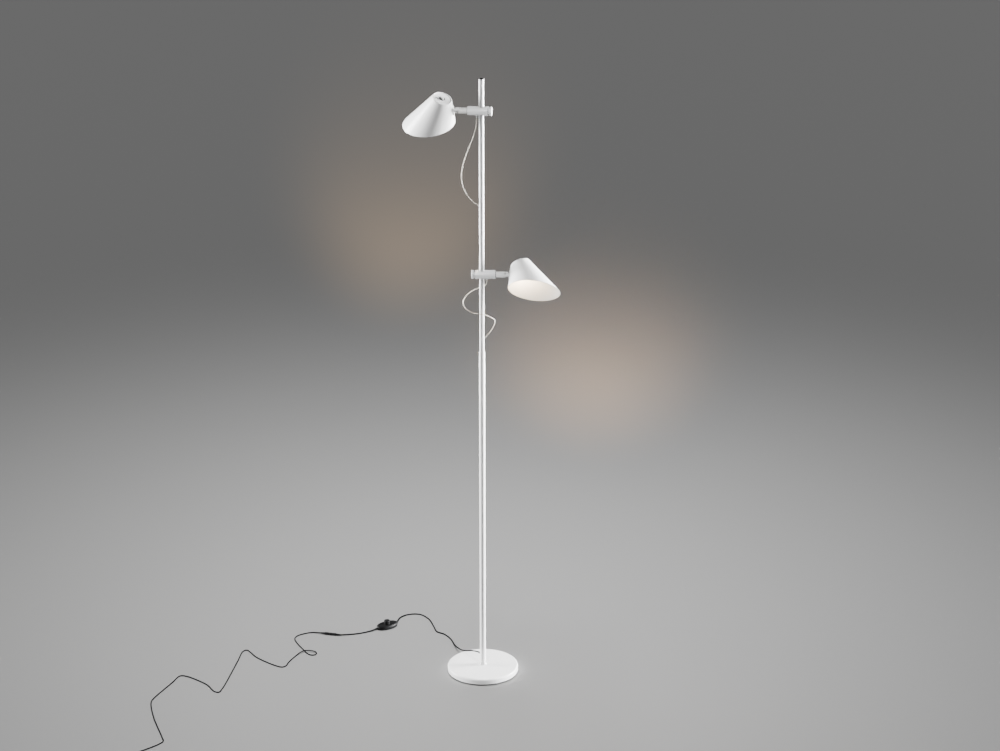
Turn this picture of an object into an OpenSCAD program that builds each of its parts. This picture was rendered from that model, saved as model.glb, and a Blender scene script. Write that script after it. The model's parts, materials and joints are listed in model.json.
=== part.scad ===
// Floor lamp: a weighted disc base, a two-stage pole and two conical heads.
// Each head slides, swivels, rolls and tilts on its own clamp. All sizes are in millimetres.
// The pole's axis is Z and the floor is z = 0. Angles are in degrees.

/* [Base] */
// Diameter of the base disc
base_d = 212; // [175:1:260]
// Height of the base disc's top above the floor
base_h = 20; // [18:0.5:28]
// Thickness of the base cover's sheet
base_sheet = 2; // [1:0.1:3]
// Radius of the base cover's top edge
base_edge_r = 4; // [2:0.5:6]
// Thickness of the soft pad under the base
pad_h = 3.5; // [2:0.5:5]
// How far the pad stands back from the base's edge
pad_inset = 4; // [2:0.5:8]
// Diameter of the collar round the pole's foot
collar_d = 22.5; // [21:0.5:30]
// Height of the collar
collar_h = 4; // [3:0.5:10]
// Diameter of the bolt that holds the pole
base_bolt_d = 8; // [6:1:10]

/* [Pole] */
// Outer diameter of the lower tube
lower_tube_d = 18; // [17:0.5:22]
// Wall of the lower tube
lower_tube_wall = 1.25; // [1:0.05:1.4]
// Height at which the lower tube ends
junction_z = 1010; // [840:1:1030]
// Outer diameter of the upper tube
upper_tube_d = 15; // [12.5:0.5:18]
// Wall of the upper tube
upper_tube_wall = 1; // [0.8:0.05:1.5]
// Height at which the upper tube ends
pole_top_z = 1798; // [1780:1:2160]
// Height of the hole where the supply lead leaves the pole
lead_hole_z = 50; // [46:1:60]
// Direction in which the supply lead leaves the pole
lead_hole_azimuth = 126; // [120:1:132]

/* [Cables] */
// Diameter of a head cable
cable_d = 2.8; // [2:0.1:3]
// Diameter of the lead from the pole to the in-line connector
lead_d = 4; // [3:0.1:4.4]
// Diameter of the lead from the connector to the power supply
supply_d = 3.4; // [3:0.1:3.8]
// Height of the upper head's cable hole
upper_hole_z = 1441; // [1435:1:1447]
// Height of the lower head's cable hole
lower_hole_z = 1052; // [1048:1:1056]

/* [Upper head] */
// Height of the upper clamp's axis
upper_clamp_z = 1709; // [1705:1:1715]
// Direction of the upper arm
upper_azimuth = 172; // [168:0.5:176]
// Turn of the upper arm about its own axis
upper_roll = -24.5; // [-60:0.5:60]
// Tilt of the upper shade at its knuckle, outer edge down
upper_tilt = 3.5; // [-40:0.5:40]

/* [Lower head] */
// Height of the lower clamp's axis
lower_clamp_z = 1240; // [1236:1:1246]
// Direction of the lower arm
lower_azimuth = -1; // [-5:0.5:3]
// Turn of the lower arm about its own axis
lower_roll = -41; // [-60:1:60]
// Tilt of the lower shade at its knuckle, outer edge down
lower_tilt = 6.5; // [-40:0.5:40]

/* [Clamp] */
// Diameter of the clamp block
clamp_d = 25; // [23:0.5:32]
// Length of the clamp block from the pole's axis towards the arm
clamp_reach = 38.5; // [36:0.5:50]
// Length of the clamp block from the pole's axis towards the knob
clamp_back = 19.5; // [18:0.5:26]
// Wall of the sliding bush round the pole
bush_wall = 1.5; // [1:0.1:2]
// Diameter of the clamping knob
knob_d = 25; // [20:0.5:32]
// Thickness of the knob's disc
knob_w = 6.5; // [5:0.5:12]
// Diameter of the knob's neck
knob_neck_d = 14; // [10:0.5:18]
// Length of the knob's neck
knob_neck_l = 3.2; // [2:0.1:6]
// Diameter of the knob's threaded stud
stud_d = 6; // [4:0.5:6]

/* [Arm] */
// Diameter of the arm
arm_d = 16.5; // [14:0.5:20]
// Diameter of the arm's spigot inside the clamp
spigot_d = 12; // [10:0.5:13]
// Thickness of the friction ring between clamp and arm
friction_ring_t = 1.4; // [0.5:0.1:2]
// Distance from the pole's axis to the knuckle pin
pivot_reach = 66; // [64:0.5:80]
// Thickness of the shade's tongue in the knuckle
tongue_t = 6; // [4:0.5:7]
// Height of the shade's tongue
tongue_h = 10; // [8:0.5:11]
// Diameter of the knuckle pin
pin_d = 4; // [3:0.5:5]

/* [Shade] */
// Half of the cone's angle
shade_angle = 23.5; // [20:0.5:29]
// Diameter of the shade's flat cap
cap_d = 54.5; // [48:0.5:70]
// Height of the shade's straight side next to the arm
shade_side_h = 71; // [60:1:84]
// Thickness of the shade's sheet
shade_sheet = 1.2; // [0.8:0.1:1.5]
// Radius of the shade's shoulder
shoulder_r = 3; // [2:0.5:4]
// Depth of the cap's recess
cap_recess = 1; // [0.5:0.1:2]
// Height of the knuckle above the shade's mouth
knuckle_h = 40.5; // [32:0.5:46]
// Distance from the knuckle pin to the shade
pivot_to_shade = 13; // [12:0.5:20]

/* [Light and switch] */
// Diameter of the push button in the cap
button_d = 11; // [8:0.5:14]
// How far the push button stands out of its bezel
button_proud = 3; // [2.5:0.5:5]
// Thickness of the light module's heat sink
sink_h = 8; // [6:0.5:10]
// Thickness of the circuit board
board_t = 1.6; // [1:0.1:2]

/* [Foot switch] */
// Length of the foot switch
foot_l = 72; // [64:1:86]
// Width of the foot switch
foot_w = 41; // [36:1:50]
// Height of the foot switch's cover
foot_h = 13; // [11:0.5:16]
// Diameter of the foot button
foot_button_d = 18.5; // [14:0.5:22]
// Height of the foot button's top above the floor
foot_button_top = 24; // [20:0.5:28]

/* [Power supply] */
// Length of the power supply's body
supply_l = 62; // [50:1:80]
// Width of the power supply's body
supply_w = 42; // [36:1:44]
// Height of the power supply's body
supply_h = 30; // [24:1:32]

/* [Hidden] */
$fn = 64;

// Clearances: a running fit, a seat inside one body, and a free gap
run_fit = 0.05;
seat_fit = 0.02;
free_gap = 0.3;
// How far a cut runs past a face, and a length that no cut needs
cut = 1;
beyond = 400;

UPPER = 0;
LOWER = 1;
clamp_z = [upper_clamp_z, lower_clamp_z];
azimuth = [upper_azimuth, lower_azimuth];
roll = [upper_roll, lower_roll];
tilt = [upper_tilt, lower_tilt];

// Base
base_r = base_d / 2;
cover_in_r = base_r - base_sheet;
cover_in_z = base_h - base_sheet;
weight_recess_d = 26;
weight_recess_h = 8;
washer_t = 1.5;
washer_gap = 2;
bolt_head_h = 5.3;
bolt_head_d = 15;
washer_z = pad_h + weight_recess_h - washer_t;
plug_l = 22;
plug_thread_l = 18;
bolt_spare = 1;

// Pole
lower_tube_in = lower_tube_d - 2 * lower_tube_wall;
upper_tube_in = upper_tube_d - 2 * upper_tube_wall;
coupler_below = 40;
coupler_above = 25;
coupler_bore = 8;
riser_d = 3.6;
plug_dome_h = 3;
plug_dome_d = upper_tube_d - 2 * free_gap;
plug_stem_l = 12;

// Cable holes: the grommet's flange and neck
grommet_flange_t = 1.2;
grommet_flange_extra = 3.4;
grommet_neck_extra = 1.8;
grommet_in = 1;

// Clamp
bush_in = upper_tube_d + 2 * run_fit;
bush_d = upper_tube_d + 2 * bush_wall;
cross_bore = bush_d + 2 * run_fit;
bush_inset = 0.4;
bush_h = 2 * sqrt(pow(clamp_d / 2, 2) - pow(bush_d / 2, 2)) - bush_inset;
clamp_chamfer = 0.8;
clamp_web = 7.4;
cable_hole_back = 3.5;
spigot_start = cross_bore / 2 + clamp_web;
cable_hole_x = spigot_start - cable_hole_back;
cable_hole_d = cable_d + 2 * free_gap;
pad_d = 8;
pad_depth = 3.4;
pad_play = 0.2;
pad_end = cross_bore / 2 + pad_depth;
pad_start = bush_d / 2 + pad_play;
screw_d = 4;
screw_sunk = 0.6;
screw_x = (spigot_start + clamp_reach) / 2;
groove_depth = 1.2;
groove_w = 4.6;
knob_start = clamp_back + free_gap;
knob_chamfer = 1;

// Arm and knuckle
barrel_start = clamp_reach + friction_ring_t;
slot_w = tongue_t + 2 * free_gap;
ear_extra = 0.5;
ear_r = arm_d / 2 + ear_extra;
ear_cut = 1;
ear_flat = arm_d / 2 - ear_cut;
slot_margin = 2.5;
slot_back = tongue_h / 2 + slot_margin;
wire_bore = 4;
bevel_reach = 4.6;
pin_head_d = 7;
pin_head_t = 1.2;
pin_bore = pin_d + 2 * run_fit;

// Shade, in the head's own frame: x outwards from the straight side, z up from the mouth
cap_r = cap_d / 2;
cap_x = cap_r * cos(shade_angle);
cap_z = shade_side_h + cap_r * sin(shade_angle);
mouth_l = 2 * cap_x + (shade_side_h + 2 * cap_r * sin(shade_angle)) * tan(2 * shade_angle);
cone_spare = 5;
cone_depth = (mouth_l - cap_x) * sin(shade_angle) + cap_z * cos(shade_angle) + cone_spare;
wall_across = shade_sheet / cos(shade_angle);
// Inner radius of the cone at a depth below the cap's plane
function cone_in_r(depth) = cap_r + depth * tan(shade_angle) - wall_across;
shoulder_x = cap_r - shoulder_r * (1 - sin(shade_angle)) / cos(shade_angle);
recess_slope = 2;
arc_steps = 6;
saddle_t = 1.8;
saddle_w = 16;
saddle_h = 22;
saddle_wrap = 2;
rivet_d = 3;
rivet_head_d = 5;
rivet_head_t = 1.2;
rivet_rise = 7;
rivet_grip = wall_across + 0.2;

// Light module and push switch, measured down from the cap
cap_under = cap_recess + shade_sheet;
bezel_d = button_d + 5;
bezel_t = 1.2;
switch_d = button_d + 3;
switch_l = 9;
switch_floor = 1.5;
button_travel = 2;
button_play = 0.2;
sink_bottom = cap_under + sink_h;
sink_gap = 3.5;
sink_d = 2 * (cone_in_r(cap_under) - sink_gap);
board_bottom = sink_bottom + board_t;
ring_grip = 2.5;
ring_top = sink_bottom - ring_grip;
ring_step = 1;
ring_floor_t = 1.5;
ring_lip = 3;
lens_rise = 1.5;
lens_top = board_bottom + lens_rise;
lens_t = 2.5;
lens_bulge = 3;
lens_gap = 3.5;
lens_d = 2 * (cone_in_r(lens_top) - lens_gap);
ring_bottom = lens_top + lens_t + ring_floor_t;
board_inset = 2;
chip = 3;
chip_t = 0.7;
chip_seat = 0.3;
chip_circle_r = 15;
chip_count = 8;
fin_count = 3;
fin_depth = 4;
fin_gap = 2;

// Foot switch
foot_at = [-305, 299, 0];
foot_turn = 35;
foot_base_h = 5;
foot_wall = 1.6;
foot_core = [22, 15, 4];
foot_travel = 3;
foot_button_bottom = foot_wall + foot_core[2] + foot_travel + free_gap;
foot_button_edge = 2;
foot_flange_extra = 3;
foot_flange_t = 1.5;
foot_top_inset = 5;
foot_cover_draft = 1;
foot_inner_inset = [5.6, 2.6];

// In-line connector
connector_d = 8.2;
connector_at = [-446, 234, connector_d / 2];
connector_heading = 166.4;
boot_lip = 0.3;
boot_step = 0.8;
edge_step = 0.6;
socket_boot_l = 15;
socket_l = 35.5;
plug_neck_l = 2;
plug_body_l = 14.5;
plug_boot_l = 14.8;
barrel_d = 5.5;
barrel_l = 9.5;

// Coil of the supply lead and the power supply
coil_at = [-978, -580, 0];
coil_r = 20;
coil_side = 2 * supply_d;
floor_gap = 0.05;
supply_at = [-965, -601.5, 4.2];
supply_boot_l = 24;
supply_boot_d = 8;
supply_edge_r = 6;
supply_pin_d = 4;
supply_pin_l = 19;
supply_pin_gap = 19;

// Routes of the cables and leads
upper_cable_route = [
    [-12.8, 1.8, 1700], [-13, 1.8, 1680], [-17, 1.8, 1655], [-27, 1, 1625], [-40, 0, 1592], [-51, 0, 1560],
    [-56, 0, 1528], [-52, 0, 1495], [-38, 0, 1468], [-22, 0, 1450], [-8, 0, 1441]
];
lower_cable_route = [
    [13, -0.2, 1231], [13, 0.2, 1216], [8, 9, 1204], [-5, 15, 1197], [-22, 16, 1190], [-39, 12, 1180],
    [-53, 4, 1161], [-48, -8, 1143.5], [-21, -16, 1129.5], [6, -15, 1125], [29, -8, 1113], [36, -4, 1105.5],
    [35.5, -1.5, 1096], [27.5, 0, 1076], [8, 0, 1052]
];
lead_route = [
    [-4.7, 6.5, 50], [-14, 19, 50], [-32, 44, 42], [-50, 69, 30], [-63, 87, 23], [-74, 117, 14],
    [-88, 160, 5], [-101, 207, 2], [-122, 243, 2], [-146, 262, 2], [-158, 303, 2], [-176, 357, 2], [-205, 390, 2],
    [-240, 389, 2], [-265, 366, 3], [-276, 322, 5.5]
];
connector_route = [[-333, 280, 5.5], [-354, 266, 3], [-390, 249, 2], [-447, 234.2, 4.1]];
supply_route = [
    [-511, 249.7, 4.1], [-540, 256, 2], [-578, 236, 1.8], [-588, 216, 1.8], [-580, 185, 1.8],
    [-552, 130, 1.8], [-540, 108, 1.8], [-528, 97, 1.8], [-515, 99, 1.8], [-512, 111, 2.4], [-522, 120, 3.8],
    [-545, 121, 5.6], [-562, 110, 4.2], [-576, 86, 1.8], [-592, 46, 1.8], [-598, 22, 1.8], [-610, 15, 1.8],
    [-690, 78, 1.8], [-718, 120, 1.8], [-728, 131, 1.8], [-738, 124, 1.8], [-748, 50, 1.8],
    [-772, -130, 1.8], [-779, -151, 1.8], [-792, -147, 1.8], [-822, -101, 1.8],
    [-896, -44, 1.8], [-910, -46, 1.8], [-924, -84, 1.8], [-965, -190, 1.8], [-969, -212, 1.8],
    [-948, -305, 1.8], [-904, -430, 1.8], [-898, -452, 1.8], [-912, -474, 1.8],
    [-986, -541, 1.8], [-997, -562, 1.8], [-998, -580, 1.8]
];
cable_sides = 8;

// ---- Sweeps and other helpers ----

function unit(v) = v / norm(v);

function heading(route, i) = unit(route[min(i + 1, len(route) - 1)] - route[max(i - 1, 0)]);

// Part of v that is square to the direction t
function square_to(v, t) = unit(v - (v * t) * t);

// One side direction for each ring, carried along the route without twist
function sides_along(route) = [
    for (
        i = 0, side = square_to([0.13, 0.29, 1], heading(route, 0));
        i < len(route);
        i = i + 1, side = i < len(route) ? square_to(side, heading(route, i)) : side
    ) side
];

module sweep(route, d) {
    sides = sides_along(route);
    rings = len(route);
    points = [
        for (i = [0:rings - 1]) let (across = cross(heading(route, i), sides[i]))
            for (k = [0:cable_sides - 1]) let (a = 360 * k / cable_sides)
                route[i] + d / 2 * (cos(a) * sides[i] + sin(a) * across)
    ];
    walls = [
        for (i = [0:rings - 2])
            for (k = [0:cable_sides - 1]) let (next = (k + 1) % cable_sides)
                [
                    i * cable_sides + k,
                    (i + 1) * cable_sides + k,
                    (i + 1) * cable_sides + next,
                    i * cable_sides + next
                ]
    ];
    start = [for (k = [0:cable_sides - 1]) k];
    end = [for (k = [cable_sides - 1:-1:0]) (rings - 1) * cable_sides + k];
    polyhedron(points = points, faces = concat(walls, [start, end]), convexity = 10);
}

// A solid of revolution along +X from x = x0: pairs of distance and radius
module turned(x0, outline) {
    far = outline[len(outline) - 1][0];
    translate([x0, 0, 0])
        rotate([90, 0, 90])
            rotate_extrude()
                polygon(concat([[0, outline[0][0]]], [for (p = outline) [p[1], p[0]]], [[0, far]]));
}

module rod_x(x0, x1, d) {
    translate([x0, 0, 0])
        rotate([0, 90, 0])
            cylinder(h = x1 - x0, d = d);
}

module rod_y(y0, y1, d) {
    translate([0, y0, 0])
        rotate([-90, 0, 0])
            cylinder(h = y1 - y0, d = d);
}

function oval(a, b, steps = 48) = [
    for (k = [0:steps - 1]) let (turn = 360 * k / steps) [a * cos(turn), b * sin(turn)]
];

function arc(centre, r, from, to) = [
    for (k = [0:arc_steps]) let (a = from + (to - from) * k / arc_steps) centre + r * [cos(a), sin(a)]
];

module rounded_plate(size, r, h) {
    linear_extrude(h) {
        translate([r, 0])
            square([size[0] - 2 * r, size[1]]);
        translate([0, r])
            square([size[0], size[1] - 2 * r]);
        for (x = [r, size[0] - r], y = [r, size[1] - r])
            translate([x, y])
                circle(r);
    }
}

// ---- Frames ----

module at_clamp(head) {
    translate([0, 0, clamp_z[head]])
        rotate([0, 0, azimuth[head]])
            children();
}

module at_arm(head) {
    at_clamp(head)
        rotate([roll[head], 0, 0])
            children();
}

module at_head(head) {
    at_arm(head)
        translate([pivot_reach, 0, 0])
            rotate([0, tilt[head], 0])
                translate([pivot_to_shade, 0, -knuckle_h])
                    children();
}

module from_head_to_cap() {
    translate([cap_x, 0, cap_z])
        rotate([0, -shade_angle, 0])
            children();
}

module at_cap(head) {
    at_head(head)
        from_head_to_cap()
            children();
}

module at_foot_switch() {
    translate(foot_at)
        rotate([0, 0, foot_turn])
            children();
}

module at_connector() {
    translate(connector_at)
        rotate([0, 0, connector_heading])
            children();
}

// ---- Base ----

module base_cover() {
    in_r = base_edge_r - base_sheet;
    corner = [base_r - base_edge_r, base_h - base_edge_r];
    outline = concat(
        [[base_bolt_d / 2 + free_gap, base_h]],
        arc(corner, base_edge_r, 90, 0),
        [[base_r, pad_h], [cover_in_r, pad_h]],
        in_r > 0 ? arc(corner, in_r, 0, 90) : [[cover_in_r, cover_in_z]],
        [[base_bolt_d / 2 + free_gap, cover_in_z]]
    );
    color("white")
        rotate_extrude()
            polygon(outline);
}

module base_weight() {
    color("dimgray")
        difference() {
            translate([0, 0, pad_h])
                cylinder(h = cover_in_z - pad_h - seat_fit, r = cover_in_r - base_edge_r + base_sheet);
            cylinder(h = weight_recess_h + pad_h, d = weight_recess_d);
            cylinder(h = base_h, d = base_bolt_d + 2 * free_gap);
        }
}

module base_pad() {
    color("black")
        cylinder(h = pad_h, r = base_r - pad_inset);
}

module pole_collar() {
    color("white")
        difference() {
            translate([0, 0, base_h])
                cylinder(h = collar_h, d = collar_d);
            translate([0, 0, base_h - cut])
                cylinder(h = collar_h + 2 * cut, d = lower_tube_d + 2 * seat_fit);
        }
}

module base_bolt() {
    color("silver") {
        translate([0, 0, washer_z - bolt_head_h])
            cylinder(h = bolt_head_h, d = bolt_head_d, $fn = 6);
        translate([0, 0, washer_z])
            cylinder(h = base_h + plug_thread_l - bolt_spare - washer_z, d = base_bolt_d);
    }
}

module base_washer() {
    color("silver")
        translate([0, 0, washer_z])
            difference() {
                cylinder(h = washer_t, d = weight_recess_d - washer_gap);
                translate([0, 0, -cut])
                    cylinder(h = washer_t + 2 * cut, d = base_bolt_d + 2 * seat_fit);
            }
}

module foot_plug() {
    color("gray")
        translate([0, 0, base_h])
            difference() {
                cylinder(h = plug_l, d = lower_tube_in - 2 * seat_fit);
                translate([0, 0, -cut])
                    cylinder(h = plug_thread_l + cut, d = base_bolt_d + 2 * seat_fit);
            }
}

// ---- Pole ----

module grommet_hole(z, turn) {
    translate([0, 0, z])
        rotate([0, 0, turn])
            rod_x(0, lower_tube_d, cable_d + grommet_neck_extra);
}

module lower_tube() {
    color("white")
        difference() {
            translate([0, 0, base_h])
                cylinder(h = junction_z - base_h, d = lower_tube_d);
            translate([0, 0, base_h - cut])
                cylinder(h = junction_z - base_h + 2 * cut, d = lower_tube_in);
            translate([0, 0, lead_hole_z])
                rotate([0, 0, lead_hole_azimuth])
                    rod_x(0, lower_tube_d, lead_d + grommet_neck_extra);
        }
}

module tube_coupler() {
    color("gray")
        difference() {
            union() {
                translate([0, 0, junction_z - coupler_below])
                    cylinder(h = coupler_below, d = lower_tube_in - 2 * seat_fit);
                translate([0, 0, junction_z])
                    cylinder(h = coupler_above, d = upper_tube_in - 2 * seat_fit);
            }
            translate([0, 0, junction_z - coupler_below - cut])
                cylinder(h = coupler_below + coupler_above + 2 * cut, d = coupler_bore);
        }
}

module upper_tube() {
    color("white")
        difference() {
            translate([0, 0, junction_z])
                cylinder(h = pole_top_z - junction_z, d = upper_tube_d);
            translate([0, 0, junction_z - cut])
                cylinder(h = pole_top_z - junction_z + 2 * cut, d = upper_tube_in);
            grommet_hole(upper_hole_z, 180);
            grommet_hole(lower_hole_z, 0);
        }
}

module pole_plug() {
    dome_r = (pow(plug_dome_d / 2, 2) + pow(plug_dome_h, 2)) / (2 * plug_dome_h);
    color("black") {
        translate([0, 0, pole_top_z - plug_stem_l])
            cylinder(h = plug_stem_l, d = upper_tube_in - 2 * seat_fit);
        translate([0, 0, pole_top_z])
            intersection() {
                cylinder(h = plug_dome_h, d = plug_dome_d);
                translate([0, 0, plug_dome_h - dome_r])
                    sphere(dome_r);
            }
    }
}

module grommet(tube_d, wall, cord_d) {
    face = tube_d / 2;
    neck_r = cord_d / 2 + grommet_neck_extra / 2 - seat_fit;
    color("whitesmoke")
        difference() {
            union() {
                rod_x(face - wall - grommet_in, face + grommet_flange_t, 2 * neck_r);
                difference() {
                    rod_x(face - wall / 2, face + grommet_flange_t, cord_d + grommet_flange_extra);
                    cylinder(h = beyond, d = tube_d + 2 * seat_fit, center = true);
                }
            }
            rod_x(0, face + grommet_flange_t + cut, cord_d + 2 * seat_fit);
        }
}

module hole_grommets() {
    translate([0, 0, upper_hole_z])
        rotate([0, 0, 180])
            grommet(upper_tube_d, upper_tube_wall, cable_d);
    translate([0, 0, lower_hole_z])
        grommet(upper_tube_d, upper_tube_wall, cable_d);
    translate([0, 0, lead_hole_z])
        rotate([0, 0, lead_hole_azimuth])
            grommet(lower_tube_d, lower_tube_wall, lead_d);
}

module riser_cable() {
    bottom = base_h + plug_l;
    color("black")
        translate([0, 0, bottom])
            cylinder(h = upper_hole_z - bottom, d = riser_d);
}

// ---- Clamp ----

module bush() {
    color("ivory")
        translate([0, 0, -bush_h / 2])
            difference() {
                cylinder(h = bush_h, d = bush_d);
                translate([0, 0, -cut])
                    cylinder(h = bush_h + 2 * cut, d = bush_in);
            }
}

module clamp_block() {
    r = clamp_d / 2;
    c = clamp_chamfer;
    length = clamp_back + clamp_reach;
    color("white")
        difference() {
            turned(-clamp_back, [[0, r - c], [c, r], [length - c, r], [length, r - c]]);
            cylinder(h = clamp_d + 2 * cut, d = cross_bore, center = true);
            rod_x(spigot_start - free_gap, clamp_reach + cut, spigot_d + 2 * run_fit);
            rod_x(-clamp_back - cut, 0, stud_d + 2 * run_fit);
            rod_x(-pad_end, 0, pad_d + 2 * seat_fit);
            rod_x(cable_hole_x, spigot_start, cable_hole_d);
            translate([cable_hole_x, 0, -clamp_d])
                cylinder(h = clamp_d, d = cable_hole_d);
            translate([screw_x, 0, -clamp_d])
                cylinder(h = clamp_d, d = screw_d + 2 * seat_fit);
        }
}

module pressure_pad() {
    color("ivory")
        intersection() {
            rod_x(-pad_end + pad_play, 0, pad_d);
            difference() {
                cube([beyond, beyond, pad_d], center = true);
                cylinder(h = pad_d + cut, r = pad_start, center = true);
            }
        }
}

module arm_screw() {
    tip = spigot_d / 2 - groove_depth + free_gap;
    color("dimgray")
        translate([screw_x, 0, -clamp_d / 2 + screw_sunk])
            cylinder(h = clamp_d / 2 - screw_sunk - tip, d = screw_d);
}

module knob() {
    c = knob_chamfer;
    disc = knob_start + knob_neck_l;
    color("white")
        mirror([1, 0, 0]) {
            rod_x(pad_end, knob_start, stud_d);
            turned(knob_start, [
                [0, knob_neck_d / 2],
                [knob_neck_l, knob_neck_d / 2],
                [knob_neck_l, knob_d / 2 - c],
                [knob_neck_l + c, knob_d / 2],
                [knob_neck_l + knob_w - c, knob_d / 2],
                [knob_neck_l + knob_w, knob_d / 2 - c]
            ]);
        }
}

// ---- Arm ----

module arm() {
    color("lightgray")
        difference() {
            union() {
                rod_x(spigot_start, barrel_start, spigot_d);
                rod_x(barrel_start, pivot_reach, arm_d);
                translate([pivot_reach, 0, 0])
                    intersection() {
                        rod_y(-arm_d, arm_d, 2 * ear_r);
                        rod_x(-cut, ear_r, arm_d);
                    }
            }
            translate([pivot_reach - slot_back, -slot_w / 2, -arm_d])
                cube([slot_back + 2 * ear_r, slot_w, 2 * arm_d]);
            for (side = [0, 1])
                mirror([0, side, 0])
                    translate([pivot_reach - slot_back, ear_flat, -arm_d])
                        cube([slot_back + 2 * ear_r, arm_d, 2 * arm_d]);
            translate([pivot_reach, 0, 0])
                rotate([0, 45, 0])
                    translate([bevel_reach, -arm_d, -arm_d])
                        cube([arm_d, 2 * arm_d, 2 * arm_d]);
            translate([pivot_reach, 0, 0])
                rod_y(-arm_d, arm_d, pin_bore);
            rod_x(0, pivot_reach, wire_bore);
            translate([screw_x - groove_w / 2, 0, 0])
                difference() {
                    rod_x(0, groove_w, spigot_d + cut);
                    rod_x(-cut, groove_w + cut, spigot_d - 2 * groove_depth);
                }
        }
}

module friction_ring() {
    color("black")
        difference() {
            rod_x(clamp_reach + seat_fit, barrel_start - seat_fit, arm_d - 2 * free_gap);
            rod_x(0, pivot_reach, spigot_d + 2 * seat_fit);
        }
}

module pivot_pin() {
    color("silver")
        translate([pivot_reach, 0, 0]) {
            rod_y(-ear_flat, ear_flat, pin_d);
            rod_y(-ear_flat - pin_head_t, -ear_flat, pin_head_d);
            rod_y(ear_flat, ear_flat + pin_head_t, pin_head_d);
        }
}

// ---- Head ----

// The cone's outside grown by a gap, in the cap's frame
module cone_solid(gap) {
    across = gap / cos(shade_angle);
    rotate_extrude()
        polygon([
            [0, gap],
            [cap_r + across - gap * tan(shade_angle), gap],
            [cap_r + across + cone_depth * tan(shade_angle), -cone_depth],
            [0, -cone_depth]
        ]);
}

module shade() {
    centre = [shoulder_x, -shoulder_r];
    wide = cap_r + cone_depth * tan(shade_angle);
    outline = concat(
        [[0, -cap_recess], [shoulder_x - recess_slope, -cap_recess]],
        arc(centre, shoulder_r, 90, shade_angle),
        [[wide, -cone_depth], [wide - wall_across, -cone_depth]],
        arc(centre, shoulder_r - shade_sheet, shade_angle, 90),
        [[shoulder_x - recess_slope, -cap_under], [0, -cap_under]]
    );
    color("white")
        difference() {
            from_head_to_cap()
                rotate_extrude()
                    polygon(outline);
            translate([-beyond / 2, -beyond / 2, -beyond])
                cube(beyond);
            from_head_to_cap()
                translate([0, 0, -cap_under - cut])
                    cylinder(h = cap_under + 2 * cut, d = switch_d + 2 * seat_fit);
            for (side = [-1, 1])
                translate([0, 0, knuckle_h + side * rivet_rise])
                    rod_x(-shade_side_h / 2, shade_side_h / 2, rivet_d + 2 * seat_fit);
        }
}

module bracket() {
    color("lightgray")
        translate([0, 0, knuckle_h]) {
            difference() {
                union() {
                    translate([-pivot_to_shade, 0, 0])
                        rod_y(-tongue_t / 2, tongue_t / 2, tongue_h);
                    translate([-pivot_to_shade, -tongue_t / 2, -tongue_h / 2])
                        cube([pivot_to_shade + cut, tongue_t, tongue_h]);
                    translate([-saddle_t, -saddle_w / 2, -saddle_h / 2])
                        cube([saddle_t + saddle_wrap, saddle_w, saddle_h]);
                }
                translate([0, 0, -knuckle_h])
                    from_head_to_cap()
                        cone_solid(seat_fit);
                translate([-pivot_to_shade, 0, 0])
                    rod_y(-tongue_t, tongue_t, pin_bore);
            }
            for (side = [-1, 1])
                translate([0, 0, side * rivet_rise]) {
                    rod_x(-saddle_t / 2, rivet_grip, rivet_d);
                    rod_x(rivet_grip, rivet_grip + rivet_head_t, rivet_head_d);
                }
        }
}

module switch_body() {
    color("dimgray")
        difference() {
            union() {
                translate([0, 0, -cap_under - switch_l])
                    cylinder(h = cap_under + switch_l, d = switch_d);
                translate([0, 0, -cap_recess])
                    cylinder(h = bezel_t, d = bezel_d);
            }
            translate([0, 0, -cap_under - switch_l + switch_floor])
                cylinder(h = beyond, d = button_d + 2 * free_gap);
        }
}

module button() {
    bottom = -cap_under - switch_l + switch_floor + button_travel + button_play;
    top = -cap_recess + bezel_t + button_proud;
    color("white")
        translate([0, 0, bottom])
            cylinder(h = top - bottom, d = button_d);
}

module heat_sink() {
    color("silver")
        translate([0, 0, -sink_bottom])
            difference() {
                cylinder(h = sink_h - seat_fit, d = sink_d);
                translate([0, 0, -cut])
                    cylinder(h = sink_h + 2 * cut, d = switch_d + 2 * seat_fit);
                for (k = [1:fin_count])
                    translate([0, 0, sink_h - fin_depth])
                        difference() {
                            cylinder(h = fin_depth + cut, d = sink_d - (4 * k - 1) * fin_gap);
                            translate([0, 0, -cut])
                                cylinder(h = fin_depth + 3 * cut, d = sink_d - (4 * k + 1) * fin_gap);
                        }
            }
}

module led_board() {
    color("seagreen") {
        translate([0, 0, -board_bottom])
            difference() {
                cylinder(h = board_t - seat_fit, d = sink_d - board_inset);
                translate([0, 0, -cut])
                    cylinder(h = board_t + 2 * cut, d = switch_d + 2 * free_gap);
            }
        for (k = [0:chip_count - 1])
            rotate([0, 0, 360 * k / chip_count])
                translate([chip_circle_r - chip / 2, -chip / 2, -board_bottom - chip_t])
                    cube([chip, chip, chip_t + chip_seat]);
    }
}

module lens_ring() {
    color("white")
        rotate_extrude()
            polygon([
                [sink_d / 2 + seat_fit, -ring_top],
                [cone_in_r(ring_top) - free_gap, -ring_top],
                [cone_in_r(ring_bottom) - free_gap, -ring_bottom],
                [lens_d / 2 - ring_lip, -ring_bottom],
                [lens_d / 2 - ring_lip, -lens_top - lens_t - seat_fit],
                [lens_d / 2 + seat_fit, -lens_top - lens_t - seat_fit],
                [lens_d / 2 + seat_fit, -board_bottom - ring_step],
                [sink_d / 2 + seat_fit, -board_bottom - ring_step]
            ]);
}

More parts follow.
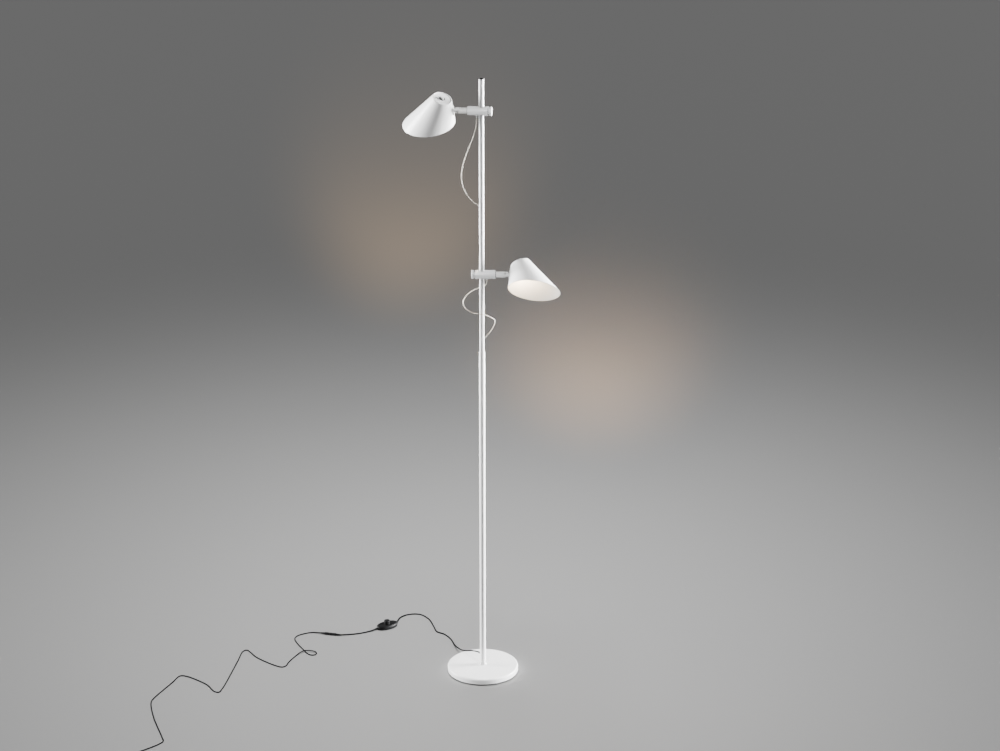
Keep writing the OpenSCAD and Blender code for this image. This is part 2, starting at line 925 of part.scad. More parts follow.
module lens() {
    lip_r = lens_d / 2 - ring_lip - free_gap;
    dome_r = (pow(lip_r, 2) + pow(lens_bulge, 2)) / (2 * lens_bulge);
    half_angle = asin(lip_r / dome_r);
    face = -lens_top - lens_t;
    color("white")
        rotate_extrude()
            polygon(concat(
                [[0, -lens_top], [lens_d / 2, -lens_top], [lens_d / 2, face]],
                arc([0, face - lens_bulge + dome_r], dome_r, half_angle - 90, -90)
            ));
}

// ---- Supply lead, foot switch, connector and power supply ----

module foot_switch_base() {
    color("black")
        at_foot_switch()
            difference() {
                linear_extrude(foot_base_h)
                    polygon(oval(foot_l / 2, foot_w / 2));
                translate([0, 0, foot_wall])
                    linear_extrude(foot_base_h)
                        polygon(oval(foot_l / 2 - foot_inner_inset[0], foot_w / 2 - foot_inner_inset[1]));
            }
}

module foot_cover_form(inset, h) {
    hull() {
        linear_extrude(h / 3)
            polygon(oval(foot_l / 2 - inset, foot_w / 2 - inset));
        linear_extrude(h * 0.8)
            polygon(oval(foot_l / 2 - inset - foot_top_inset / 3, foot_w / 2 - inset - foot_top_inset / 3));
        linear_extrude(h)
            polygon(oval(foot_l / 2 - inset - foot_top_inset, foot_w / 2 - inset - foot_top_inset));
    }
}

module foot_switch_cover() {
    h = foot_h - foot_base_h;
    color("black")
        at_foot_switch()
            translate([0, 0, foot_base_h])
                difference() {
                    foot_cover_form(0, h);
                    translate([0, 0, -cut])
                        foot_cover_form(foot_wall + foot_cover_draft, h + cut - foot_wall);
                    cylinder(h = beyond, d = foot_button_d + 2 * free_gap);
                }
}

module foot_switch_core() {
    color("dimgray")
        at_foot_switch()
            translate([-foot_core[0] / 2, -foot_core[1] / 2, foot_wall])
                cube(foot_core);
}

module foot_button() {
    edge = foot_button_edge;
    r = foot_button_d / 2;
    flange_r = r + foot_flange_extra / 2;
    flange_top = foot_button_bottom + foot_flange_t;
    color("black")
        at_foot_switch()
            rotate_extrude()
                polygon(concat(
                    [[0, foot_button_bottom], [flange_r, foot_button_bottom], [flange_r, flange_top]],
                    [[r, flange_top]],
                    arc([r - edge, foot_button_top - edge], edge, 0, 90),
                    [[0, foot_button_top]]
                ));
}

module connector_socket() {
    r = connector_d / 2;
    color("black")
        at_connector()
            difference() {
                turned(0, [
                    [0, lead_d / 2 + boot_lip],
                    [socket_boot_l, r - boot_step],
                    [socket_boot_l, r - edge_step],
                    [socket_boot_l + edge_step, r],
                    [socket_l, r]
                ]);
                rod_x(socket_l - barrel_l - free_gap, socket_l + cut, barrel_d + 2 * seat_fit);
            }
}

module connector_plug() {
    r = connector_d / 2;
    color("black")
        at_connector() {
            rod_x(socket_l - barrel_l, socket_l + plug_neck_l, barrel_d);
            turned(socket_l + plug_neck_l, [
                [0, r],
                [plug_body_l, r],
                [plug_body_l, r - edge_step],
                [plug_body_l + plug_boot_l, supply_d / 2 + boot_lip]
            ]);
        }
}

module supply_coil() {
    in_r = coil_r - coil_side / 2;
    out_r = coil_r + coil_side / 2;
    c = supply_d / 2;
    color("black")
        translate(coil_at)
            rotate_extrude()
                polygon([
                    [in_r + c, floor_gap], [out_r - c, floor_gap], [out_r, c], [out_r, coil_side - c],
                    [out_r - c, coil_side], [in_r + c, coil_side], [in_r, coil_side - c], [in_r, c]
                ]);
}

module power_supply() {
    color("black")
        translate(supply_at) {
            turned(0, [[0, supply_d / 2 + boot_lip], [supply_boot_l, supply_boot_d / 2]]);
            translate([supply_boot_l, -supply_w / 2, -supply_at[2]])
                rounded_plate([supply_l, supply_w], supply_edge_r, supply_h);
        }
}

module power_supply_pins() {
    face = supply_at[0] + supply_boot_l + supply_l;
    color("silver")
        for (side = [-1, 1])
            translate([face, supply_at[1] + side * supply_pin_gap / 2, supply_h / 2])
                rod_x(0, supply_pin_l, supply_pin_d);
}

// ---- The nodes ----

base_cover();
base_weight();
base_pad();
pole_collar();
base_bolt();
base_washer();
foot_plug();
lower_tube();
tube_coupler();
upper_tube();
pole_plug();
hole_grommets();
riser_cable();

at_clamp(UPPER) bush();  // upper_bush
at_clamp(UPPER) clamp_block();  // upper_clamp
at_clamp(UPPER) pressure_pad();  // upper_pressure_pad
at_clamp(UPPER) arm_screw();  // upper_arm_screw
at_clamp(UPPER) knob();  // upper_knob
at_arm(UPPER) arm();  // upper_arm
at_arm(UPPER) friction_ring();  // upper_friction_ring
at_arm(UPPER) pivot_pin();  // upper_pivot_pin
at_head(UPPER) bracket();  // upper_bracket
at_head(UPPER) shade();  // upper_shade
at_cap(UPPER) switch_body();  // upper_switch_body
at_cap(UPPER) button();  // upper_button
at_cap(UPPER) heat_sink();  // upper_heat_sink
at_cap(UPPER) led_board();  // upper_led_board
at_cap(UPPER) lens();  // upper_lens
at_cap(UPPER) lens_ring();  // upper_lens_ring
color("linen") sweep(upper_cable_route, cable_d);  // upper_cable

at_clamp(LOWER) bush();  // lower_bush
at_clamp(LOWER) clamp_block();  // lower_clamp
at_clamp(LOWER) pressure_pad();  // lower_pressure_pad
at_clamp(LOWER) arm_screw();  // lower_arm_screw
at_clamp(LOWER) knob();  // lower_knob
at_arm(LOWER) arm();  // lower_arm
at_arm(LOWER) friction_ring();  // lower_friction_ring
at_arm(LOWER) pivot_pin();  // lower_pivot_pin
at_head(LOWER) bracket();  // lower_bracket
at_head(LOWER) shade();  // lower_shade
at_cap(LOWER) switch_body();  // lower_switch_body
at_cap(LOWER) button();  // lower_button
at_cap(LOWER) heat_sink();  // lower_heat_sink
at_cap(LOWER) led_board();  // lower_led_board
at_cap(LOWER) lens();  // lower_lens
at_cap(LOWER) lens_ring();  // lower_lens_ring
color("linen") sweep(lower_cable_route, cable_d);  // lower_cable

color("black") sweep(lead_route, lead_d);  // lead_to_switch
foot_switch_base();
foot_switch_cover();
foot_switch_core();
foot_button();
color("black") sweep(connector_route, lead_d);  // lead_to_connector
connector_socket();
connector_plug();
color("black") sweep(supply_route, supply_d);  // supply_lead
supply_coil();
power_supply();
power_supply_pins();
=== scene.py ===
# Floor lamp with two heads on one pole: looks, light and camera. Lengths are in metres, angles in degrees.
import json
from math import atan2, cos, pi, radians, sin, tan

import bmesh
import bpy
from mathutils import Matrix, Vector

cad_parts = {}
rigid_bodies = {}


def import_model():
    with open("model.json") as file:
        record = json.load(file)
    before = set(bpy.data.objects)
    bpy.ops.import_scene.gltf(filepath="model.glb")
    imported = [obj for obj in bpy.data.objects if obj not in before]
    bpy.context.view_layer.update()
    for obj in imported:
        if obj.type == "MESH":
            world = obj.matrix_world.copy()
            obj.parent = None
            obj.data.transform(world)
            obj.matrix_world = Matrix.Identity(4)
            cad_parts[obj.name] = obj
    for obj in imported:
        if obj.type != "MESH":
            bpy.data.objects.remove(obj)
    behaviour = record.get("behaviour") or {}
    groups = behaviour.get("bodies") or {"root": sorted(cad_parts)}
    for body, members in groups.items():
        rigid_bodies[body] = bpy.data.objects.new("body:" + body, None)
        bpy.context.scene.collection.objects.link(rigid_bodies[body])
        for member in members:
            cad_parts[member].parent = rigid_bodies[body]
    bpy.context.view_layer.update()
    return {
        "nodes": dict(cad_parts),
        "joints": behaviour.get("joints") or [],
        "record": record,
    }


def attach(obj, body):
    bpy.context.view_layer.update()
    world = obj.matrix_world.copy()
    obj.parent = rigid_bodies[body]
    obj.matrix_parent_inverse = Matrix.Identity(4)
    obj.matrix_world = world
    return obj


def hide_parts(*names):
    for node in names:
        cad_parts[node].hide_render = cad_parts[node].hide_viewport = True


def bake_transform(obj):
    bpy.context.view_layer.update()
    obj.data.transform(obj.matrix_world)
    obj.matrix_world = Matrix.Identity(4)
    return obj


for leftover in list(bpy.data.objects):
    bpy.data.objects.remove(leftover)

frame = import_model()
joints = {joint["name"]: joint for joint in frame["joints"]}
mm = 0.001
print("frame loaded")

# Camera

cameraSpec = {"place": (0.0516, -5.76, 2.865), "pitch": 18.5, "lens": 75.89}

cameraData = bpy.data.cameras.new("studioCamera")
cameraData.lens = cameraSpec["lens"]
cameraData.clip_end = 200
camera = bpy.data.objects.new("studioCamera", cameraData)
camera.location = cameraSpec["place"]
camera.rotation_euler = (radians(90 - cameraSpec["pitch"]), 0, 0)
bpy.context.scene.collection.objects.link(camera)
bpy.context.scene.camera = camera


# Node trees

class Wire:  # an output socket that takes part in sums
    def __init__(self, tree, socket):
        self.tree = tree
        self.socket = socket

    def maths(self, operation, *values):
        sockets = dict(enumerate((self,) + values))
        return self.tree.add("ShaderNodeMath", {"operation": operation}, sockets)

    def __add__(self, other):
        return self.maths("ADD", other)

    def __sub__(self, other):
        return self.maths("SUBTRACT", other)

    def __rsub__(self, other):
        return self.tree.add("ShaderNodeMath", {"operation": "SUBTRACT"}, {0: other, 1: self})

    def __mul__(self, other):
        return self.maths("MULTIPLY", other)

    def __truediv__(self, other):
        return self.maths("DIVIDE", other)

    def __pow__(self, other):
        return self.maths("POWER", other)

    __radd__ = __add__
    __rmul__ = __mul__


class Tree:  # a node tree, with one way of adding any node to it
    def __init__(self, nodeTree, prefix="ShaderNode"):
        self.nodeTree = nodeTree
        self.prefix = prefix

    def add(self, kind, settings=None, values=None, out=0):
        known = kind if kind.startswith(("Geometry", "Node", "Shader", "Function")) else self.prefix + kind
        node = self.nodeTree.nodes.new(known)
        for key, value in (settings or {}).items():
            if key == "stops":
                self.setStops(node.color_ramp, value)
            else:
                setattr(node, key, value)
        for key, value in (values or {}).items():
            self.feed(node.inputs[key], value)
        return Wire(self, node.outputs[out]) if node.outputs else None

    def feed(self, socket, value):
        if isinstance(value, Wire):
            self.nodeTree.links.new(value.socket, socket)
        else:
            socket.default_value = value

    def setStops(self, ramp, stops):
        while len(ramp.elements) < len(stops):
            ramp.elements.new(1.0)
        for element, (position, colour) in zip(ramp.elements, stops):
            element.position = position
            element.color = grey(colour) if isinstance(colour, (int, float)) else (*colour, 1)


def grey(level):
    return (level, level, level, 1)


class Finish(Tree):  # a material with one Principled shader
    def __init__(self, name, colour, roughness, **plain):
        self.material = bpy.data.materials.new(name)
        self.material.use_nodes = True
        super().__init__(self.material.node_tree)
        self.shader = self.nodeTree.nodes["Principled BSDF"]
        self.set("Base Color", (*colour, 1))
        self.set("Roughness", roughness)
        for socketName, value in plain.items():
            self.set(socketName.replace("_", " "), value)

    def set(self, socketName, value):
        self.feed(self.shader.inputs[socketName], value)

    def place(self, scale=(1, 1, 1), turn=(0, 0, 0), source="Object"):
        coordinates = self.add("TexCoord", out=source)
        return self.add("Mapping", {}, {"Vector": coordinates, "Scale": scale, "Rotation": turn})

    def noise(self, scale, detail=3, roughness=0.5, at=None, out=0):
        values = {"Scale": scale, "Detail": detail, "Roughness": roughness, "Vector": at or self.place()}
        return self.add("TexNoise", {}, values, out=out)

    def ramp(self, wire, *stops):
        return self.add("ValToRGB", {"stops": stops}, {"Fac": wire})

    def bump(self, *layers):  # pairs of height and depth in metres
        normal = None
        for height, depth in layers:
            values = {"Height": height, "Distance": depth, "Strength": 1.0}
            if normal:
                values["Normal"] = normal
            normal = self.add("Bump", {}, values)
        self.set("Normal", normal)


# Finishes

def paint(name, colour, gloss, peelSize, peelDepth, dust=0.03):
    # Enamel or powder coat: orange peel in the surface, a little unevenness in tone and gloss
    finish = Finish(name, colour, gloss, Coat_Weight=0.25, Coat_Roughness=0.12)
    broad = finish.noise(9, 4)
    fine = finish.noise(1 / peelSize, 2, 0.6)
    tone = finish.ramp(broad, (0.3, tuple(c * (1 - dust) for c in colour)), (0.7, colour))
    finish.set("Base Color", tone)
    finish.set("Roughness", gloss + (broad - 0.5) * 0.12 + (fine - 0.5) * 0.08)
    finish.bump((fine, peelDepth))
    return finish.material


def mouldedPlastic(name, colour, gloss, grain=0.0006, depth=0.00003, shine=0.5):
    finish = Finish(name, colour, gloss, Specular_IOR_Level=shine)
    cells = finish.add("TexVoronoi", {"feature": "F1"}, {"Scale": 1 / grain, "Vector": finish.place()})
    broad = finish.noise(35, 4)
    paler = tuple(min(1, c * 1.5 + 0.004) for c in colour)
    finish.set("Base Color", finish.ramp(broad, (0.35, colour), (0.75, paler)))
    finish.set("Roughness", gloss + (broad - 0.5) * 0.25)
    finish.bump((cells, depth))
    return finish.material


def metal(name, colour, gloss, lines=0.0004, along=(1, 1, 14), depth=0.000004):
    finish = Finish(name, colour, gloss, Metallic=1.0)
    scratches = finish.noise(1 / lines, 3, 0.6, at=finish.place(scale=along))
    stain = finish.noise(60, 5)
    darker = tuple(c * 0.72 for c in colour)
    finish.set("Base Color", finish.ramp(stain, (0.3, darker), (0.62, colour)))
    finish.set("Roughness", gloss + (scratches - 0.5) * 0.3)
    finish.bump((scratches, depth))
    return finish.material


def sheath(name, colour, gloss, paler, shine=0.5):
    # Extruded sleeve of a cable: faint rings from the drawing and dull patches
    finish = Finish(name, colour, gloss, Specular_IOR_Level=shine)
    patches = finish.noise(120, 4)
    finish.set("Base Color", finish.ramp(patches, (0.35, colour), (0.8, paler)))
    finish.set("Roughness", gloss + (patches - 0.5) * 0.3)
    finish.bump((finish.noise(900, 2), 0.00003))
    return finish.material


finishes = {
    "base_white": paint("powderCoatWhite", (0.84, 0.84, 0.84), 0.42, 0.0011, 0.000035),
    "pole_white": paint("enamelWhite", (0.86, 0.86, 0.86), 0.24, 0.003, 0.000012),
    "clamp_white": paint("clampEnamel", (0.78, 0.785, 0.79), 0.34, 0.002, 0.00001),
    "arm_metal": paint("armSatin", (0.66, 0.66, 0.65), 0.36, 0.0016, 0.00001),
    "shade_white": paint("shadeEnamel", (0.86, 0.86, 0.855), 0.40, 0.0022, 0.000012, dust=0.02),
    "cast_iron": mouldedPlastic("castIron", (0.09, 0.085, 0.08), 0.72, grain=0.0012, depth=0.0002),
    "rubber_black": mouldedPlastic("rubberBlack", (0.012, 0.012, 0.013), 0.75, grain=0.0009, depth=0.00006),
    "steel": metal("zincSteel", (0.56, 0.56, 0.54), 0.34),
    "nylon": mouldedPlastic("nylonNatural", (0.74, 0.71, 0.62), 0.48),
    "plastic_black": mouldedPlastic("blackPlastic", (0.006, 0.006, 0.0065), 0.46, shine=0.14),
    "plastic_white": mouldedPlastic("whitePlastic", (0.80, 0.80, 0.79), 0.38),
    "cable_beige": sheath("sheathOffWhite", (0.66, 0.61, 0.53), 0.42, (0.74, 0.70, 0.62)),
    "cable_black": sheath("sheathBlack", (0.008, 0.008, 0.009), 0.5, (0.016, 0.016, 0.017), shine=0.14),
    "sink": metal("bareAluminium", (0.70, 0.70, 0.71), 0.30),
    "board": mouldedPlastic("boardGreen", (0.03, 0.16, 0.07), 0.35),
    "lens": None,
    "pin_metal": metal("nickel", (0.68, 0.66, 0.62), 0.2),
}
lampGlow = {"colour": (1.0, 0.78, 0.53), "strength": 175.0}
lensFinish = Finish("frostedLens", (0.95, 0.93, 0.88), 0.5)
lensFinish.set("Emission Color", (*lampGlow["colour"], 1))
lensFinish.set("Emission Strength", lampGlow["strength"])
finishes["lens"] = lensFinish.material

for part in frame["record"]["subparts"]:
    cadMesh = frame["nodes"][part["node"]].data
    cadMesh.materials.clear()
    cadMesh.materials.append(finishes[part["material_slot"]])
print("finishes made")


# Making and placing pieces

def meshObject(name, mesh, material):
    piece = bpy.data.objects.new(name, mesh)
    mesh.materials.clear()
    mesh.materials.append(material)
    bpy.context.scene.collection.objects.link(piece)
    return piece


def evaluatedMesh(piece):
    graph = bpy.context.evaluated_depsgraph_get()
    return bpy.data.meshes.new_from_object(piece.evaluated_get(graph))


def ownFrame(origin, yAxis, zAxis):
    # Matrix of a frame whose lengths stay in metres
    z = Vector(zAxis).normalized()
    x = Vector(yAxis).cross(z).normalized()
    return Matrix.Translation(origin) @ Matrix((x, z.cross(x), z)).transposed().to_4x4()


def moved(x=0.0, y=0.0, z=0.0):
    return Matrix.Translation(Vector((x, y, z)) * mm)


def turned(angle, axis):
    return Matrix.Rotation(radians(angle), 4, axis)


def addPiece(name, mesh, place, body, slotName, replaced=(), sharp=35):
    shell = bmesh.new()
    shell.from_mesh(mesh)
    bmesh.ops.transform(shell, matrix=place, verts=shell.verts)
    bmesh.ops.remove_doubles(shell, verts=shell.verts, dist=2e-6)
    bmesh.ops.recalc_face_normals(shell, faces=shell.faces)
    shell.to_mesh(mesh)
    shell.free()
    for polygon in mesh.polygons:
        polygon.use_smooth = True
    mesh.set_sharp_from_angle(angle=radians(sharp))
    piece = meshObject(name, mesh, finishes[slotName])
    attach(piece, body)
    if replaced:
        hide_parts(*replaced)
    return piece


def newGroup(name, **inputs):
    # A geometry tree with its named inputs
    group = bpy.data.node_groups.new(name, "GeometryNodeTree")
    group.interface.new_socket("Geometry", in_out="INPUT", socket_type="NodeSocketGeometry")
    for key, kind in inputs.items():
        group.interface.new_socket(key, in_out="INPUT", socket_type="NodeSocket" + kind)
    group.interface.new_socket("Geometry", in_out="OUTPUT", socket_type="NodeSocketGeometry")
    tree = Tree(group, "GeometryNode")
    source = group.nodes.new("NodeGroupInput")
    return tree, {socket.name: Wire(tree, socket) for socket in source.outputs if socket.name}


def endGroup(tree, geometry, material):
    realized = tree.add("RealizeInstances", {}, {"Geometry": geometry})
    painted = tree.add("SetMaterial", {}, {"Geometry": realized, "Material": material})
    tree.add("NodeGroupOutput", {}, {"Geometry": painted})


def turningGroup():
    # Turns a profile of edges about Z: x is the radius, -y the height
    tree, given = newGroup("turning", Segments="Int", Material="Material")
    profile = tree.add("MeshToCurve", {}, {"Mesh": given["Geometry"]})
    ring = tree.add("CurvePrimitiveCircle", {"mode": "RADIUS"},
        {"Resolution": given["Segments"], "Radius": 1e-6})
    skin = tree.add("CurveToMesh", {}, {"Curve": ring, "Profile Curve": profile})
    closed = tree.add("MergeByDistance", {}, {"Geometry": skin, "Distance": 3e-6})
    endGroup(tree, closed, given["Material"])
    return tree.nodeTree


def stackingGroup():
    # Repeats one ring along Z, each smaller than the last
    tree, given = newGroup("stacking", Count="Int", Pitch="Float", Shrink="Float", Material="Material")
    step = tree.add("ShaderNodeCombineXYZ", {}, {"Z": given["Pitch"]})
    line = tree.add("MeshLine", {}, {"Count": given["Count"], "Offset": step})
    size = 1 - tree.add("InputIndex") * given["Shrink"]
    scale = tree.add("ShaderNodeCombineXYZ", {}, {"X": size, "Y": size, "Z": 1.0})
    rings = tree.add("InstanceOnPoints", {},
        {"Points": line, "Instance": given["Geometry"], "Scale": scale})
    endGroup(tree, rings, given["Material"])
    return tree.nodeTree


def grown(name, mesh, group, **inputs):
    carrier = bpy.data.objects.new(name, mesh)
    bpy.context.scene.collection.objects.link(carrier)
    modifier = carrier.modifiers.new("form", "NODES")
    modifier.node_group = group
    for item in group.interface.items_tree:
        if item.name in inputs and item.in_out == "INPUT":
            modifier[item.identifier] = inputs[item.name]
    result = evaluatedMesh(carrier)
    bpy.data.objects.remove(carrier)
    result.name = name
    return result


turning = turningGroup()
stacking = stackingGroup()


def rounded(corners, fillet=0.4, closed=False, steps=4):
    # Corners are (radius, height) or (radius, height, fillet), in millimetres
    count = len(corners)
    line = []
    for i, corner in enumerate(corners):
        here = Vector(corner[:2])
        size = corner[2] if len(corner) > 2 else fillet
        if size == 0 or (not closed and i in (0, count - 1)):
            line.append(here)
            continue
        back = Vector(corners[i - 1][:2]) - here
        ahead = Vector(corners[(i + 1) % count][:2]) - here
        start = here + back.normalized() * min(size, back.length * 0.48)
        end = here + ahead.normalized() * min(size, ahead.length * 0.48)
        for k in range(steps + 1):
            t = k / steps
            line.append(start * (1 - t) ** 2 + here * 2 * t * (1 - t) + end * t ** 2)
    return line


def turnedMesh(name, corners, fillet=0.4, closed=False, segments=48, slotName="plastic_black", steps=4):
    line = rounded(corners, fillet, closed, steps)
    edges = [(i, i + 1) for i in range(len(line) - 1)]
    if closed:
        edges.append((len(line) - 1, 0))
    profile = bpy.data.meshes.new(name + "Profile")
    profile.from_pydata([(p.x * mm, -p.y * mm, 0) for p in line], edges, [])
    return grown(name, profile, turning, Segments=segments, Material=finishes[slotName])


def turnedPiece(name, corners, place, body, slotName, replaced=(), sharp=35, **form):
    mesh = turnedMesh(name, corners, slotName=slotName, **form)
    return addPiece(name, mesh, place, body, slotName, replaced, sharp)


def ribs(name, radius, wire, count, pitch, shrink, place, body, slotName):
    # Rounded rings along a tapered sleeve
    half = wire / 2
    section = [(radius, -half), (radius + half, -half), (radius + half, half), (radius, half)]
    ring = turnedMesh(name + "Ring", section, fillet=half * 0.9, closed=True, segments=24, steps=2)
    mesh = grown(name, ring, stacking, Count=count, Pitch=pitch * mm, Shrink=shrink,
        Material=finishes[slotName])
    return addPiece(name, mesh, place, body, slotName)


def loftedMesh(name, rings, closed=True):
    # Joins closed rings of points, in millimetres, and caps both ends
    mesh = bpy.data.meshes.new(name)
    shell = bmesh.new()
    loops = [[shell.verts.new(Vector(point) * mm) for point in ring] for ring in rings]
    for one, other in zip(loops, loops[1:]):
        for k in range(len(one)):
            n = (k + 1) % len(one)
            shell.faces.new((one[k], one[n], other[n], other[k]))
    if closed:
        shell.faces.new(reversed(loops[0]))
        shell.faces.new(loops[-1])
    shell.to_mesh(mesh)
    shell.free()
    return mesh


def refined(node, body, slotName, width=0.3, angle=35, sharp=35):
    # The node's own form with its edges broken
    shell = bmesh.new()
    shell.from_mesh(frame["nodes"][node].data)
    bmesh.ops.remove_doubles(shell, verts=shell.verts, dist=1e-6)
    bmesh.ops.dissolve_limit(shell, angle_limit=radians(1), verts=shell.verts, edges=shell.edges)
    mesh = bpy.data.meshes.new(node)
    shell.to_mesh(mesh)
    shell.free()
    carrier = bpy.data.objects.new(node + "Edges", mesh)
    bpy.context.scene.collection.objects.link(carrier)
    bevel = carrier.modifiers.new("edges", "BEVEL")
    bevel.width = width * mm
    bevel.segments = 2
    bevel.limit_method = "ANGLE"
    bevel.angle_limit = radians(angle)
    broken = evaluatedMesh(carrier)
    bpy.data.objects.remove(carrier)
    words = node.split("_")
    name = words[0] + "".join(word.title() for word in words[1:])
    return addPiece(name, broken, Matrix.Identity(4), body, slotName, [node], sharp)


# Cords

headCables = {
    "diameter": 2.8 * mm,
    "upper": [
        (-12.8, 1.8, 1700), (-13, 1.8, 1680), (-17, 1.8, 1655), (-27, 1, 1625), (-40, 0, 1592),
        (-51, 0, 1560), (-56, 0, 1528), (-52, 0, 1495), (-38, 0, 1468), (-22, 0, 1450), (-8, 0, 1441),
    ],
    "lower": [
        (13, -0.2, 1231), (13, 0.2, 1216), (8, 9, 1204), (-5, 15, 1197), (-22, 16, 1190), (-39, 12, 1180),
        (-53, 4, 1161), (-48, -8, 1143.5), (-21, -16, 1129.5), (6, -15, 1125), (29, -8, 1113),
        (36, -4, 1105.5), (35.5, -1.5, 1096), (27.5, 0, 1076), (8, 0, 1052),
    ],
    "split": {"upper": 2, "lower": 2},
}
leads = {
    "leadDiameter": 4 * mm,
    "supplyDiameter": 3.4 * mm,
    "toSwitch": [
        (-4.7, 6.5, 50), (-14, 19, 50), (-32, 44, 42), (-50, 69, 30), (-63, 87, 23), (-74, 117, 14),
        (-88, 160, 5), (-101, 207, 2), (-122, 243, 2), (-146, 262, 2), (-158, 303, 2), (-176, 357, 2),
        (-205, 390, 2), (-240, 389, 2), (-265, 366, 3), (-276, 322, 5.5),
    ],
    "toConnector": [(-333, 280, 5.5), (-354, 266, 3), (-390, 249, 2), (-447, 234.2, 4.1)],
    "supply": [
        (-511, 249.7, 4.1), (-540, 256, 2), (-578, 236, 1.8), (-588, 216, 1.8), (-580, 185, 1.8),
        (-552, 130, 1.8), (-540, 108, 1.8), (-528, 97, 1.8), (-515, 99, 1.8), (-512, 111, 2.4),
        (-522, 120, 3.8), (-545, 121, 5.6), (-562, 110, 4.2), (-576, 86, 1.8), (-592, 46, 1.8),
        (-598, 22, 1.8), (-610, 15, 1.8), (-690, 78, 1.8), (-718, 120, 1.8), (-728, 131, 1.8),
        (-738, 124, 1.8), (-748, 50, 1.8), (-772, -130, 1.8), (-779, -151, 1.8), (-792, -147, 1.8),
        (-822, -101, 1.8), (-896, -44, 1.8), (-910, -46, 1.8), (-924, -84, 1.8), (-965, -190, 1.8),
        (-969, -212, 1.8), (-948, -305, 1.8), (-904, -430, 1.8), (-898, -452, 1.8), (-912, -474, 1.8),
        (-986, -541, 1.8), (-997, -562, 1.8), (-998, -580, 1.8),
    ],
    "coil": {"centre": (-978, -580), "radius": 20, "perLayer": 2, "layers": 2, "steps": 24, "lift": 0.5},
}


def inMetres(route):
    return [Vector(point) * mm for point in route]


def smoothPath(points, low=0.0, steps=8, tension=0.5):
    # Centripetal Catmull-Rom curve through the points, never lower than the floor lets it lie
    ends = [2 * points[0] - points[1]] + points + [2 * points[-1] - points[-2]]
    path = []
    for i in range(1, len(ends) - 2):
        p0, p1, p2, p3 = ends[i - 1:i + 3]
        t1 = (p1 - p0).length ** tension
        t2 = t1 + (p2 - p1).length ** tension
        t3 = t2 + (p3 - p2).length ** tension
        for k in range(steps):
            t = t1 + (t2 - t1) * k / steps
            a1 = p0 * ((t1 - t) / t1) + p1 * (t / t1)
            a2 = p1 * ((t2 - t) / (t2 - t1)) + p2 * ((t - t1) / (t2 - t1))
            a3 = p2 * ((t3 - t) / (t3 - t2)) + p3 * ((t - t2) / (t3 - t2))
            b1 = a1 * ((t2 - t) / t2) + a2 * (t / t2)
            b2 = a2 * ((t3 - t) / (t3 - t1)) + a3 * ((t - t1) / (t3 - t1))
            path.append(b1 * ((t2 - t) / (t2 - t1)) + b2 * ((t - t1) / (t2 - t1)))
    path.append(points[-1].copy())
    for point in path:
        point.z = max(point.z, low + 0.00002)
    return path


def pathLength(path):
    return sum((b - a).length for a, b in zip(path, path[1:]))


def tubeMesh(name, path, diameter, sides=12):
    # Round sleeve along a path, with its own UVs: along the cable and round it
    mesh = bpy.data.meshes.new(name)
    shell = bmesh.new()
    across = Vector((0.13, 0.29, 1))
    rings = []
    for i, point in enumerate(path):
        ahead = (path[min(i + 1, len(path) - 1)] - path[max(i - 1, 0)]).normalized()
        across = (across - ahead * across.dot(ahead)).normalized()
        other = ahead.cross(across)
        turns = [2 * pi * k / sides for k in range(sides)]
        rings.append([
            shell.verts.new(point + (across * cos(t) + other * sin(t)) * diameter / 2)
            for t in turns
        ])
    for ring, following in zip(rings, rings[1:]):
        for k in range(sides):
            n = (k + 1) % sides
            shell.faces.new((ring[k], ring[n], following[n], following[k]))
    shell.faces.new(reversed(rings[0]))
    shell.faces.new(rings[-1])
    for face in shell.faces:
        face.smooth = len(face.verts) == 4
    shell.to_mesh(mesh)
    shell.free()
    return mesh


def cable(name, path, diameter, material):
    curve = bpy.data.curves.new(name, "CURVE")
    curve.dimensions = "3D"
    curve.bevel_depth = diameter / 2
    curve.bevel_resolution = 4
    curve.use_fill_caps = True
    spline = curve.splines.new("POLY")
    spline.points.add(len(path) - 1)
    for point, place in zip(spline.points, path):
        point.co = (*place, 1)
    spline.use_smooth = True
    curve.materials.append(material)
    piece = bpy.data.objects.new(name, curve)
    bpy.context.scene.collection.objects.link(piece)
    return piece


def layCord(piece, body, path, slotName, nodes, **facts):
    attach(piece, body)
    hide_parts(*nodes)
    pathLength(path)


def headCable(head):
    # Two lengths of the head's cable, split part way along its route
    points = smoothPath(inMetres(headCables[head]))
    middle = headCables["split"][head] * 8
    name = head + "Cable"
    diameter = headCables["diameter"]
    material = finishes["cable_beige"]
    lowerPath = points[middle:][::-1]
    upperPath = points[:middle + 1][::-1]
    cableNode = head + "_cable"
    rise = meshObject(name + "Rise", tubeMesh(name + "Rise", lowerPath, diameter), material)
    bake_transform(rise)
    drop = meshObject(name + "Top", tubeMesh(name + "Top", upperPath, diameter), material)
    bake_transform(drop)
    for piece, path in ((rise, lowerPath), (drop, upperPath)):
        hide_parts(cableNode)
        pathLength(path)


def coilPath(start):
    coil = leads["coil"]
    pitch = leads["supplyDiameter"] / mm
    cx, cy = coil["centre"]
    begin = atan2(start[1] - cy, start[0] - cx)
    turns = coil["perLayer"] * coil["layers"]
    path = []
    for k in range(1, turns * coil["steps"] + 1):
        turn = k / coil["steps"]
        lap = min(int(turn), turns - 1)
        outwards = (0.5, -0.5, -0.5, 0.5)[lap % 4]
        r = coil["radius"] + pitch * outwards
        z = pitch * (0.5 + lap // 2) + coil["lift"]
        angle = begin + 2 * pi * turn
        path.append(Vector((cx + r * cos(angle), cy + r * sin(angle), z)) * mm)
    return path


for head in ("upper", "lower"):
    headCable(head)

